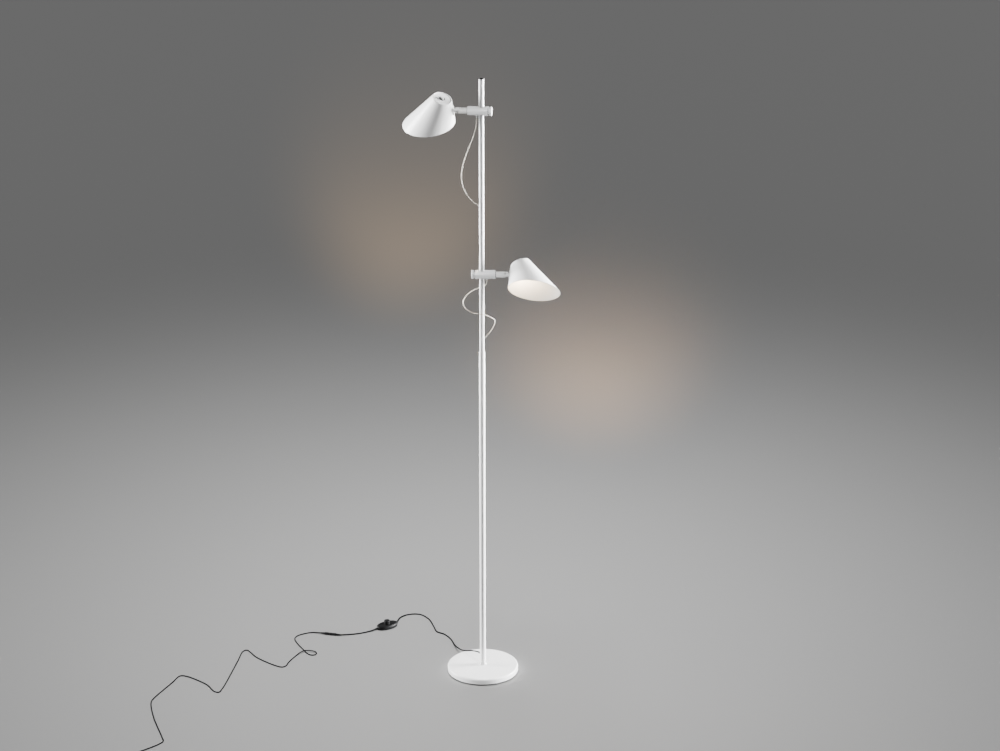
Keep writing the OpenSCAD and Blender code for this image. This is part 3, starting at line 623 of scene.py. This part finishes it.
switchPath = smoothPath(inMetres(leads["toSwitch"]), leads["leadDiameter"] / 2)
switchLead = cable("switchLead", switchPath, leads["leadDiameter"], finishes["cable_black"])
layCord(
    switchLead, "stand", switchPath, "cable_black", ["lead_to_switch"],
    diameter=leads["leadDiameter"], far_end="fitting", stiffness="medium", lay="loose",
    with_pieces=["foot_switch_base", "foot_switch_cover", "foot_switch_core", "foot_button"],
)
connectorPath = smoothPath(inMetres(leads["toConnector"]), leads["leadDiameter"] / 2)
connectorLead = cable("connectorLead", connectorPath, leads["leadDiameter"], finishes["cable_black"])
layCord(
    connectorLead, "stand", connectorPath, "cable_black", ["lead_to_connector"],
    diameter=leads["leadDiameter"], far_end="connector", stiffness="medium", lay="loose",
    with_pieces=["connector_socket", "connector_plug"],
)
supplyPath = smoothPath(inMetres(leads["supply"]), leads["supplyDiameter"] / 2)
coilTurns = coilPath(leads["supply"][-1])
supplyPath = supplyPath + coilTurns
supplyLead = cable("supplyLead", supplyPath, leads["supplyDiameter"], finishes["cable_black"])
layCord(
    supplyLead, "stand", supplyPath, "cable_black", ["supply_lead", "supply_coil"],
    diameter=leads["supplyDiameter"], far_end="plug", stiffness="limp", lay="loose",
    with_pieces=["power_supply", "power_supply_pins"],
)
print("cords laid:", [round(pathLength(path), 3) for path in (switchPath, connectorPath, supplyPath)])


# Base and pole

baseSpec = {"radius": 106, "top": 20, "bottom": 3.5, "edge": 4, "sheet": 2, "bore": 4.3, "segments": 160}
padSpec = {"radius": 102, "height": 3.5, "grooves": 7, "firstGroove": 30, "grooveStep": 10,
    "grooveDepth": 0.6}
collarSpec = {"radius": 11.25, "bore": 9.02, "bottom": 20, "height": 4}


def makeBase():
    base, pad, collar = baseSpec, padSpec, collarSpec
    inside = base["radius"] - base["sheet"]
    under = base["top"] - base["sheet"]
    turnedPiece("baseCover", [
        (base["bore"], base["top"], 0.3), (base["radius"], base["top"], base["edge"] * 1.6),
        (base["radius"], base["bottom"], 0.5), (inside, base["bottom"], 0.5),
        (inside, under, base["edge"]), (base["bore"], under, 0.3),
    ], Matrix.Identity(4), "stand", "base_white", ["base_cover"], closed=True, segments=base["segments"],
    steps=8)
    grooves = []
    for k in range(pad["grooves"]):
        r = pad["firstGroove"] + k * pad["grooveStep"]
        grooves += [(r, 0), (r + 1, pad["grooveDepth"]), (r + 3, pad["grooveDepth"]), (r + 4, 0)]
    turnedPiece("basePad", [(0, 0)] + grooves + [
        (pad["radius"], 0, 0.6), (pad["radius"], pad["height"], 0.4), (0, pad["height"]),
    ], Matrix.Identity(4), "stand", "rubber_black", ["base_pad"], fillet=0.2, segments=96, steps=2)
    low, high = collar["bottom"], collar["bottom"] + collar["height"]
    turnedPiece("poleCollar", [
        (collar["bore"], low, 0), (collar["radius"], low, 0), (collar["radius"], high, 1.6),
        (collar["bore"] + 0.1, high, 0.3),
    ], Matrix.Identity(4), "stand", "base_white", ["pole_collar"], closed=True, segments=64)


makeBase()
for tube in ("lower_tube", "upper_tube"):
    refined(tube, "stand", "pole_white", width=0.35)
refined("hole_grommets", "stand", "plastic_white", width=0.25)
refined("pole_plug", "stand", "plastic_black", width=0.3)
print("base and pole made")


# Heads

clampSpec = {
    "radius": 12.5, "back": 19.5, "reach": 38.5, "chamfer": 1.1, "crossBore": 9.05, "web": 7.4,
    "cableAt": 12.95, "cableBore": 1.7, "screwAt": 27.475, "screwBore": 2.02, "spigotBore": 6.05,
    "stud": 3.05, "padBore": 4.02, "padEnd": 12.45, "gap": 0.3,
}
knobSpec = {"radius": 12.5, "neck": 7, "neckLength": 3.2, "width": 6.5, "dish": 9, "dishDepth": 0.5,
    "stud": 3}
shadeSpec = {
    "halfAngle": 23.5, "capRadius": 27.25, "side": 71, "sheet": 1.2, "shoulder": 3, "recess": 1,
    "slope": 1.2, "hole": 7.02, "depth": 150, "segments": 144, "rimRound": 0.42, "knuckleHeight": 40.5,
    "pivotToShade": 13,
}
switchSpec = {
    "bezel": 8, "bezelThick": 1.2, "body": 7, "length": 9, "floor": 1.5, "button": 5.5, "gap": 0.3,
    "proud": 3, "travel": 2.2,
}
lightSpec = {"sinkHeight": 8, "board": 1.6, "lensGap": 3.5, "rise": 1.5, "thick": 2.5, "bulge": 3,
    "lip": 3, "ridges": 9}


def coneInside(depth):
    slope = radians(shadeSpec["halfAngle"])
    return shadeSpec["capRadius"] + depth * tan(slope) - shadeSpec["sheet"] / cos(slope)


def headFrames(head):
    # Frames of the clamp, the shade and its cap, from the joints
    roll, tilt = joints[head + "_roll"], joints[head + "_tilt"]
    armAxis, pinAxis = Vector(roll["axis"]), Vector(tilt["axis"])
    centre, pin = Vector(roll["pos_m"]), Vector(tilt["pos_m"])
    capAxis = -Vector(joints[head + "_button_press"]["axis"])
    up = Vector((0, 0, 1))
    spec = shadeSpec
    slope = radians(spec["halfAngle"])
    shade = ownFrame(pin, pinAxis, capAxis) @ turned(spec["halfAngle"], "Y")
    shade = shade @ moved(spec["pivotToShade"], 0, -spec["knuckleHeight"])
    capPlace = moved(spec["capRadius"] * cos(slope), 0, spec["side"] + spec["capRadius"] * sin(slope))
    return {
        "clamp": ownFrame(centre, up.cross(armAxis), up),
        "shade": shade,
        "cap": shade @ capPlace @ turned(-spec["halfAngle"], "Y"),
    }


def cutter(radius, length, place):
    mesh = turnedMesh("cutter", [(0, 0), (radius, 0, 0), (radius, length, 0), (0, length)], segments=48)
    mesh.transform(place)
    piece = bpy.data.objects.new("cutter", mesh)
    bpy.context.scene.collection.objects.link(piece)
    return piece


def bored(mesh, cutters):
    carrier = bpy.data.objects.new("bored", mesh)
    bpy.context.scene.collection.objects.link(carrier)
    shell = bmesh.new()
    shell.from_mesh(mesh)
    bmesh.ops.recalc_face_normals(shell, faces=shell.faces)
    shell.to_mesh(mesh)
    shell.free()
    for tool in cutters:
        cut = carrier.modifiers.new("bore", "BOOLEAN")
        cut.operation = "DIFFERENCE"
        cut.solver = "EXACT"
        cut.object = tool
    result = evaluatedMesh(carrier)
    for spare in [carrier] + cutters:
        bpy.data.objects.remove(spare)
    return result


def makeClamp(head, frames):
    spec = clampSpec
    along = turned(90, "Y")
    body = turnedMesh(head + "Clamp", [
        (0, -spec["back"]), (spec["radius"], -spec["back"], spec["chamfer"]),
        (spec["radius"], spec["reach"], spec["chamfer"]), (0, spec["reach"]),
    ], segments=72)
    body.transform(along)
    down = turned(180, "X")
    spigotStart = spec["crossBore"] + spec["web"] - spec["gap"]
    tools = [
        cutter(spec["crossBore"], 40, moved(z=-20)),
        cutter(spec["spigotBore"], 40, moved(x=spigotStart) @ along),
        cutter(spec["stud"], 40, turned(-90, "Y")),
        cutter(spec["padBore"], spec["padEnd"], turned(-90, "Y")),
        cutter(spec["cableBore"], 30, moved(x=spec["cableAt"]) @ down),
        cutter(spec["cableBore"], 12, moved(x=spec["cableAt"]) @ along),
        cutter(spec["screwBore"], 30, moved(x=spec["screwAt"]) @ down),
    ]
    addPiece(head + "Clamp", bored(body, tools), frames["clamp"], head + "_clamp", "clamp_white",
        [head + "_clamp"])
    # Soft sleeve where the cable leaves the clamp
    turnedPiece(head + "CableSleeve", [
        (1.42, 9.4, 0), (1.64, 9.4, 0), (1.64, 12.2, 0), (2.7, 12.2, 0.3), (2.7, 13.4, 0.4),
        (2.1, 14.4, 0.3), (1.8, 19, 0.2), (1.42, 19, 0.1),
    ], frames["clamp"] @ moved(x=spec["cableAt"]) @ down, head + "_clamp", "plastic_white", closed=True,
    segments=24)


def makeKnob(head, frames):
    spec = knobSpec
    start = clampSpec["back"] + clampSpec["gap"]
    inner = start + spec["neckLength"]
    outer = inner + spec["width"]
    middle = (inner + outer) / 2
    turnedPiece(head + "Knob", [
        (0, clampSpec["padEnd"]), (spec["stud"], clampSpec["padEnd"], 0.5), (spec["stud"], start, 0.2),
        (spec["neck"], start, 0.4), (spec["neck"], inner, 0.5), (spec["radius"], inner, 1.0),
        (spec["radius"], middle - 0.7, 0.2), (spec["radius"] - 0.35, middle, 0.3),
        (spec["radius"], middle + 0.7, 0.2), (spec["radius"], outer, 1.2), (spec["dish"], outer, 0.8),
        (spec["dish"] - 1.2, outer - spec["dishDepth"], 0.6), (0, outer - spec["dishDepth"]),
    ], frames["clamp"] @ turned(-90, "Y"), head + "_knob", "clamp_white", [head + "_knob"], segments=64)


def makeShade(head, frames):
    spec = shadeSpec
    slope = radians(spec["halfAngle"])
    r, t = spec["capRadius"], spec["sheet"]
    wall = t / cos(slope)
    shoulderX = r - spec["shoulder"] * (1 - sin(slope)) / cos(slope)
    wide = r + spec["depth"] * tan(slope)
    under = spec["recess"] + t
    outline = [(spec["hole"], -spec["recess"], 0.2), (shoulderX - spec["slope"], -spec["recess"], 0.6)]
    outline += [(shoulderX - 0.2, 0, 0.5), (r, 0, spec["shoulder"] * 0.9), (wide, -spec["depth"], 0)]
    outline += [(wide - wall, -spec["depth"], 0), (r - wall + under * tan(slope), -under, 1.5)]
    outline += [(spec["hole"], -under, 0.2)]
    mesh = turnedMesh(head + "Shade", outline, closed=True, segments=spec["segments"], steps=6)
    mesh.transform(frames["shade"].inverted() @ frames["cap"])
    shell = bmesh.new()
    shell.from_mesh(mesh)
    parts = shell.verts[:] + shell.edges[:] + shell.faces[:]
    cut = bmesh.ops.bisect_plane(
        shell, geom=parts, dist=1e-7, plane_co=(0, 0, 0), plane_no=(0, 0, 1), clear_inner=True,
    )
    rims = [item for item in cut["geom_cut"] if isinstance(item, bmesh.types.BMEdge)]
    bmesh.ops.bridge_loops(shell, edges=rims)
    bmesh.ops.recalc_face_normals(shell, faces=shell.faces)
    bmesh.ops.bevel(
        shell, geom=rims, offset=spec["rimRound"] * mm, offset_type="OFFSET", segments=3, profile=0.5,
        affect="EDGES", clamp_overlap=True,
    )
    shell.to_mesh(mesh)
    shell.free()
    addPiece(head + "Shade", mesh, frames["shade"], head + "_head", "shade_white", [head + "_shade"],
        sharp=40)


def makeSwitch(head, frames):
    spec = switchSpec
    under = shadeSpec["recess"] + shadeSpec["sheet"]
    top = -shadeSpec["recess"] + spec["bezelThick"]
    bottom = -under - spec["length"]
    well = spec["button"] + spec["gap"]
    # The black bezel ring round the white button is partly the switch body's own black and partly painted
    # shade for the gap round the button
    turnedPiece(head + "SwitchBody", [
        (0, bottom), (spec["body"], bottom, 0.6), (spec["body"], -shadeSpec["recess"], 0),
        (spec["bezel"], -shadeSpec["recess"], 0), (spec["bezel"], top, 0.6), (well, top, 0.4),
        (well, bottom + spec["floor"], 0.2), (0, bottom + spec["floor"]),
    ], frames["cap"], head + "_head", "plastic_black", [head + "_switch_body"])
    high = top + spec["proud"]
    turnedPiece(head + "Button", [
        (0, bottom + spec["floor"] + spec["travel"]),
        (spec["button"], bottom + spec["floor"] + spec["travel"], 0.3), (spec["button"], high, 1.1),
        (spec["button"] - 1.8, high, 0.5), (0, high - 0.35),
    ], frames["cap"], head + "_button", "plastic_white", [head + "_button"])


def makeLight(head, frames):
    spec = lightSpec
    under = shadeSpec["recess"] + shadeSpec["sheet"]
    boardLow = under + spec["sinkHeight"] + spec["board"]
    lensTop = boardLow + spec["rise"]
    lensRadius = coneInside(lensTop) - spec["lensGap"]
    lipRadius = lensRadius - spec["lip"]
    face = lensTop + spec["thick"]
    steps = spec["ridges"] * 2
    ridges = []
    for k in range(steps):
        r = (lipRadius - 0.6) * (1 - k / steps)
        ridges.append((r, -face - spec["bulge"] * (1 - (r / lipRadius) ** 2) + (0.22 if k % 2 else 0)))
    turnedPiece(head + "Lens", [
        (0, -lensTop), (lensRadius, -lensTop, 0.2), (lensRadius, -face, 0.3), (lipRadius, -face, 0.2),
    ] + ridges + [(0, -face - spec["bulge"])], frames["cap"], head + "_head", "lens", [head + "_lens"],
        segments=72, fillet=0.15, steps=2)
    sinkRadius = coneInside(under) - 3.5
    ringTop = under + spec["sinkHeight"] - 2.5
    ringLow = face + 1.5
    turnedPiece(head + "LensRing", [
        (sinkRadius + 0.02, -ringTop, 0.2), (coneInside(ringTop) - 0.3, -ringTop, 0.3),
        (coneInside(ringLow) - 0.3, -ringLow, 0.7), (lipRadius, -ringLow, 0.5),
        (lipRadius, -face - 0.02, 0.2), (lensRadius + 0.02, -face - 0.02, 0),
        (lensRadius + 0.02, -boardLow - 1, 0.2), (sinkRadius + 0.02, -boardLow - 1, 0.2),
    ], frames["cap"], head + "_head", "plastic_white", [head + "_lens_ring"], closed=True, segments=96)


for head in ("upper", "lower"):
    frames = headFrames(head)
    makeClamp(head, frames)
    makeKnob(head, frames)
    makeShade(head, frames)
    makeSwitch(head, frames)
    makeLight(head, frames)
    refined(head + "_arm", head + "_arm", "arm_metal", width=0.4)
    refined(head + "_bracket", head + "_head", "arm_metal", width=0.35)
    refined(head + "_pivot_pin", head + "_arm", "steel", width=0.3)
    # The friction ring is black rubber, and its dark band at the clamp's end is also painted shade for the
    # joint between clamp and arm
    refined(head + "_friction_ring", head + "_arm", "rubber_black", width=0.15)
print("heads made")


# Foot switch

footSpec = {
    "centre": (-305, 299, 0), "turn": 35, "half": (36, 20.5), "baseTop": 5, "top": 13, "points": 96,
    "button": 9.25, "buttonTop": 24, "buttonBottom": 8.9, "flange": 10.75, "gap": 0.3, "wall": 1.6,
    "feet": (19, 8), "footRadius": 3.2, "footHeight": 0.8,
}


def makeFootSwitch():
    spec = footSpec
    place = moved(*spec["centre"]) @ turned(spec["turn"], "Z")
    count = spec["points"]

    def oval(inset, z):
        a, b = spec["half"][0] - inset, spec["half"][1] - inset
        return [(a * cos(2 * pi * k / count), b * sin(2 * pi * k / count), z) for k in range(count)]

    def round(radius, z):
        return [
            (radius * cos(2 * pi * k / count), radius * sin(2 * pi * k / count), z)
            for k in range(count)
        ]

    base, lift = spec["baseTop"], spec["footHeight"]
    tray = [oval(4, lift), oval(1.2, lift), oval(0.5, lift + 0.25), oval(0.1, lift + 0.9),
        oval(0, lift + 1.6)]
    tray += [oval(0, base - 0.9), oval(0.35, base - 0.5), oval(0.6, base - 0.35), oval(0.6, base)]
    tray += [oval(2.2, base), oval(2.2, 2.4), oval(6, 2.4)]
    addPiece("footSwitchBase", loftedMesh("footSwitchBase", tray), place, "stand", "plastic_black",
        ["foot_switch_base"])
    hole = spec["button"] + spec["gap"]
    top = spec["top"]
    cover = [oval(2.6, base + 0.1), oval(0.6, base + 0.1), oval(0.6, base + 0.35), oval(0.3, base + 0.5)]
    cover += [oval(0, base + 0.9), oval(0, base + 2.5), oval(0.5, base + 5), oval(1.4, top - 1.4)]
    cover += [oval(2.4, top - 0.7), oval(3.8, top - 0.2), oval(5, top)]
    cover += [round(hole + 2.4, top), round(hole + 1.4, top - 0.25), round(hole + 0.3, top - 0.35)]
    cover += [round(hole, top - 0.7), round(hole, top - spec["wall"]), oval(7, top - spec["wall"])]
    cover += [oval(3.2, base + 4), oval(2.6, base + 0.1)]
    shellMesh = loftedMesh("footSwitchCover", cover, closed=False)
    addPiece("footSwitchCover", shellMesh, place, "stand", "plastic_black", ["foot_switch_cover"], sharp=50)
    high, low, r = spec["buttonTop"], spec["buttonBottom"], spec["button"]
    turnedPiece("footButton", [
        (0, low), (spec["flange"], low, 0.3), (spec["flange"], low + 1.5, 0.3), (r, low + 1.5, 0.3),
        (r, high, 2.6), (r - 2.4, high, 1.0), (r - 3.4, high - 0.45, 0.6), (0, high - 0.7),
    ], place, "foot_button", "plastic_black", ["foot_button"], segments=64)
    for i, (sx, sy) in enumerate(((1, 1), (1, -1), (-1, 1), (-1, -1))):
        spot = place @ moved(sx * spec["feet"][0], sy * spec["feet"][1])
        turnedPiece("switchFoot%d" % i,
            [(0, 0), (spec["footRadius"], 0, 0.4), (spec["footRadius"], lift + 0.2, 0), (0, lift + 0.2)],
                    spot, "stand", "rubber_black", segments=24)


def sleeve(name, path, lead, length, root, grip, count, slotName="plastic_black", back=0.0):
    # Tapered ribbed sleeve that starts at the path's first point and follows its direction
    ahead = (path[3] - path[0]).normalized()
    aside = ahead.cross(Vector((0, 0, 1)))
    start = path[0] - ahead * back * mm
    place = ownFrame(start, aside, ahead)
    inner = lead / 2
    turnedPiece(name, [
        (inner, 0, 0), (root, 0, 0.3), (root, grip, 0.5), (root - 0.7, grip + 0.8, 0.4),
        (inner + 0.35, length, 0.3), (inner, length, 0),
    ], place, "stand", slotName, closed=True, segments=32)
    pitch = (length - grip - 3) / count
    ribs(name + "Ribs", root - 1.15, 0.8, count, pitch, 0.055, place @ moved(z=grip + 2), "stand", slotName)


makeFootSwitch()
leadWidth, supplyWidth = 4.0, 3.4
sleeve("poleSleeve", switchPath, leadWidth, 15, 3.3, 3, 5, back=-1.2)
sleeve("switchSleeveIn", switchPath[::-1], leadWidth, 14, 3.6, 3, 4, back=3)
sleeve("switchSleeveOut", connectorPath, leadWidth, 14, 3.6, 3, 4, back=3)
print("foot switch made")


# Connector and power supply

connectorSpec = {
    "centre": (-446, 234, 4.1), "heading": 166.4, "radius": 4.1, "bootLength": 15, "socketLength": 35.5,
    "neck": 2, "plugBody": 14.5, "plugBoot": 14.8, "pin": 2.75, "pinLength": 9.5,
}
supplySpec = {
    "start": (-965, -601.5, 4.2), "boot": 24, "bootRadius": 4, "length": 62, "width": 42, "height": 30,
    "corner": 6, "edge": 1.6, "seam": 0.5, "arc": 8,
}
tieSpec = {"angle": 150, "width": 9, "thick": 0.4, "steps": 4}


def makeConnector():
    spec = connectorSpec
    place = moved(*spec["centre"]) @ turned(spec["heading"], "Z") @ turned(90, "Y")
    r, boot, end = spec["radius"], spec["bootLength"], spec["socketLength"]
    grip = []
    for k in range(4):
        z = boot + 4 + k * 2.2
        grip += [(r, z, 0.2), (r - 0.45, z + 0.5, 0.2), (r - 0.45, z + 1.0, 0.2), (r, z + 1.5, 0.2)]
    turnedPiece("connectorSocket", [
        (0, 0), (leadWidth / 2 + 0.3, 0, 0.2), (r - 0.9, boot, 0.3), (r - 0.9, boot + 0.4, 0.2),
        (r, boot + 1.2, 0.5),
    ] + grip + [
        (r, end, 0.5), (spec["pin"] + 0.1, end, 0.3),
        (spec["pin"] + 0.1, end - spec["pinLength"] - 0.3, 0.1), (0, end - spec["pinLength"] - 0.3),
    ], place, "stand", "plastic_black", ["connector_socket"], segments=40)
    start = end + spec["neck"]
    body, tail = start + spec["plugBody"], start + spec["plugBody"] + spec["plugBoot"]
    turnedPiece("connectorPlug", [
        (0, end - spec["pinLength"]), (spec["pin"], end - spec["pinLength"], 0.4),
        (spec["pin"], start, 0.1), (r, start, 0.5), (r, start + 3, 0.2), (r - 0.4, start + 3.6, 0.2),
        (r - 0.4, start + 4.4, 0.2), (r, start + 5, 0.2), (r, body, 0.6), (r - 0.8, body, 0.3),
        (supplyWidth / 2 + 0.35, tail, 0.3), (0, tail),
    ], place, "stand", "plastic_black", ["connector_plug"], segments=40)
    ribs("connectorPlugRibs", r - 1.3, 0.8, 5, 2.3, 0.06, place @ moved(z=body + 1.6), "stand",
        "plastic_black")
    ribs("connectorSocketRibs", r - 1.2, 0.8, 5, 2.3, 0.06,
         place @ moved(z=boot - 1.6) @ turned(180, "X"), "stand", "plastic_black")


def makeSupply():
    spec = supplySpec
    start = moved(*spec["start"])
    x0, x1 = spec["boot"], spec["boot"] + spec["length"]
    bottom = -spec["start"][2]
    half = spec["width"] / 2

    def plate(inset, z):
        # Rounded rectangle seen from above
        r = max(spec["corner"] - inset, 0.5)
        points = []
        corners = (
            (x1 - spec["corner"], half - spec["corner"], 0),
            (x0 + spec["corner"], half - spec["corner"], 90),
            (x0 + spec["corner"], spec["corner"] - half, 180),
            (x1 - spec["corner"], spec["corner"] - half, 270),
        )
        for cx, cy, begin in corners:
            for k in range(spec["arc"] + 1):
                angle = radians(begin + 90 * k / spec["arc"])
                points.append((cx + r * cos(angle), cy + r * sin(angle), bottom + z))
        return points

    high, edge, seam = spec["height"], spec["edge"], spec["seam"]
    middle = high * 0.62
    rings = [plate(3, 0.05), plate(edge, 0.05), plate(edge * 0.3, edge * 0.3), plate(0, edge)]
    rings += [plate(0, middle - seam), plate(seam, middle - seam * 0.4), plate(seam, middle + seam * 0.4)]
    rings += [plate(0, middle + seam), plate(0, high - edge), plate(edge * 0.3, high - edge * 0.3)]
    rings += [plate(edge, high), plate(3, high)]
    body = loftedMesh("powerSupply", rings)
    addPiece("powerSupply", body, start, "stand", "plastic_black", ["power_supply"])
    along = start @ turned(90, "Y")
    turnedPiece("powerSupplyBoot", [
        (0, 0), (supplyWidth / 2 + 0.3, 0, 0.2), (spec["bootRadius"] - 0.8, spec["boot"] - 2, 0.4),
        (spec["bootRadius"], spec["boot"] - 1.6, 0.4), (spec["bootRadius"], spec["boot"] + 1, 0),
        (0, spec["boot"] + 1),
    ], along, "stand", "plastic_black", segments=32)
    ribs("powerSupplyRibs", spec["bootRadius"] - 1.3, 0.8, 7, 2.6, 0.05,
         along @ moved(z=spec["boot"] - 3.5) @ turned(180, "X"), "stand", "plastic_black")
    refined("power_supply_pins", "stand", "pin_metal", width=0.7)


def makeTie():
    # Flat strap round the coil's section
    spec, coil = tieSpec, leads["coil"]
    cx, cy = coil["centre"]
    angle = radians(spec["angle"])
    outwards, sideways = Vector((cos(angle), sin(angle), 0)), Vector((-sin(angle), cos(angle), 0))
    centre = Vector((cx, cy, 0)) + outwards * coil["radius"]
    side = supplyWidth + 0.05
    low, high = coil["lift"], coil["lift"] + 2 * supplyWidth

    def loop(extra, along):
        points = []
        x, z0, z1 = side + extra, low - extra, high + extra
        r = 1.5 + extra
        for px, pz, begin in ((x - r, z0 + r, -90), (x - r, z1 - r, 0), (r - x, z1 - r, 90),
                (r - x, z0 + r, 180)):
            for k in range(spec["steps"] + 1):
                turn = radians(begin + 90 * k / spec["steps"])
                points.append(centre + outwards * (px + r * cos(turn)) + sideways * along
                              + Vector((0, 0, pz + r * sin(turn))))
        return points

    half = spec["width"] / 2
    rings = [loop(0, -half), loop(spec["thick"], -half), loop(spec["thick"], half), loop(0, half),
        loop(0, -half)]
    strap = loftedMesh("coilTie", rings, closed=False)
    addPiece("coilTie", strap, Matrix.Identity(4), "stand", "rubber_black")


makeConnector()
makeSupply()
makeTie()
print("connector, power supply and tie made")


# Studio

studio = {
    "floorSize": 80,
    "floorColour": (0.31, 0.31, 0.31),
    "floorRoughness": 0.8,
    "world": {"horizon": 0.146, "zenith": 0.555},  # the horizon meets the far floor without a line
    "sideBoxes": [
        # name, place, aim, width, height, watts
        ("leftSoftbox", (-2.6, 0.45, 1.25), (0, 0, 1.2), 1.1, 2.6, 88),
        ("rightSoftbox", (2.6, 0.45, 1.25), (0, 0, 1.2), 1.1, 2.6, 205),
    ],
    "sideSpread": 60,
    "fills": [
        # name, place, aim, width, height, watts, spread, ends of the lit pieces' names
        ("fittingFill", (-0.5, -3.0, 2.9), (0, 0, 1.5), 0.8, 0.8, 17, 70,
         ("Clamp", "Knob", "Arm", "Bracket", "_clamp", "_knob", "_arm", "_bracket", "baseCover")),
        ("shadeFill", (0.4, -3.2, 1.4), (0, 0, 1.5), 1.4, 1.0, 6, 90, ("Shade", "_shade")),
    ],
    "pool": ("poolBox", (0, 0.35, 4.0), (0, 0.35, 0), 1.0, 2.4, 68, 88),
    "poolLights": ["studioFloor", "baseCover", "poleCollar"],
    "glowColour": (1.0, 0.66, 0.36),
    "glowSoftness": 0.25,
    "glows": [
        # name, place, aim, cone in degrees, watts
        ("upperGlow", (-0.31, 0.9, 1.05), (-0.46, 6.3, 0), 17, 1700),
        ("lowerGlow", (0.34, 0.5, 0.95), (0.47, 3.1, 0), 22, 340),
    ],
}


def addLamp(name, light, place, aim):
    lamp = bpy.data.objects.new(name, light)
    lamp.location = place
    lamp.rotation_euler = (Vector(aim) - Vector(place)).to_track_quat("-Z", "Y").to_euler()
    lamp.visible_camera = False
    bpy.context.scene.collection.objects.link(lamp)
    return lamp


def softbox(name, place, aim, width, height, watts, spread, lit):
    # A rectangular lamp that lights only the named collection's objects
    light = bpy.data.lights.new(name, "AREA")
    light.shape = "RECTANGLE"
    light.size = width
    light.size_y = height
    light.energy = watts
    light.spread = radians(spread)
    lamp = addLamp(name, light, place, aim)
    lamp.light_linking.receiver_collection = lit


def receivers(name, objects):
    lit = bpy.data.collections.new(name)
    for each in objects:
        lit.objects.link(each)
    return lit


def glow(name, place, aim, cone, watts):
    light = bpy.data.lights.new(name, "SPOT")
    light.energy = watts
    light.color = studio["glowColour"]
    light.spot_size = radians(cone)
    light.spot_blend = 1.0
    light.shadow_soft_size = studio["glowSoftness"]
    addLamp(name, light, place, aim)


def makeFloor():
    half = studio["floorSize"] / 2
    mesh = bpy.data.meshes.new("studioFloor")
    corners = [(-half, -half, 0), (half, -half, 0), (half, half, 0), (-half, half, 0)]
    mesh.from_pydata(corners, [], [(0, 1, 2, 3)])
    finish = Finish("studioFloor", studio["floorColour"], studio["floorRoughness"])
    floor = meshObject("studioFloor", mesh, finish.material)
    return floor


def makeWorld():
    # Paler overhead, and as dark as the far floor at the horizon
    world = bpy.data.worlds.new("studioWorld")
    world.use_nodes = True
    tree = world.node_tree
    place = tree.nodes.new("ShaderNodeTexCoord")
    split = tree.nodes.new("ShaderNodeSeparateXYZ")
    climb = tree.nodes.new("ShaderNodeMapRange")
    climb.inputs["To Min"].default_value = studio["world"]["horizon"]
    climb.inputs["To Max"].default_value = studio["world"]["zenith"]
    tree.links.new(place.outputs["Generated"], split.inputs["Vector"])
    tree.links.new(split.outputs["Z"], climb.inputs["Value"])
    tree.links.new(climb.outputs["Result"], tree.nodes["Background"].inputs["Strength"])
    tree.nodes["Background"].inputs["Color"].default_value = grey(1.0)
    bpy.context.scene.world = world


makeWorld()
lampPieces = receivers("lampPieces", [each for each in bpy.context.scene.objects if each.type == "MESH"])
makeFloor()
for box in studio["sideBoxes"]:
    softbox(*box, studio["sideSpread"], lampPieces)
for *box, endings in studio["fills"]:
    lit = [each for each in lampPieces.objects if each.name.endswith(endings)]
    softbox(*box, receivers(box[0] + "Pieces", lit))
poolPieces = receivers("poolPieces", [bpy.data.objects[name] for name in studio["poolLights"]])
softbox(*studio["pool"], poolPieces)
for spot in studio["glows"]:
    glow(*spot)
print("studio set")
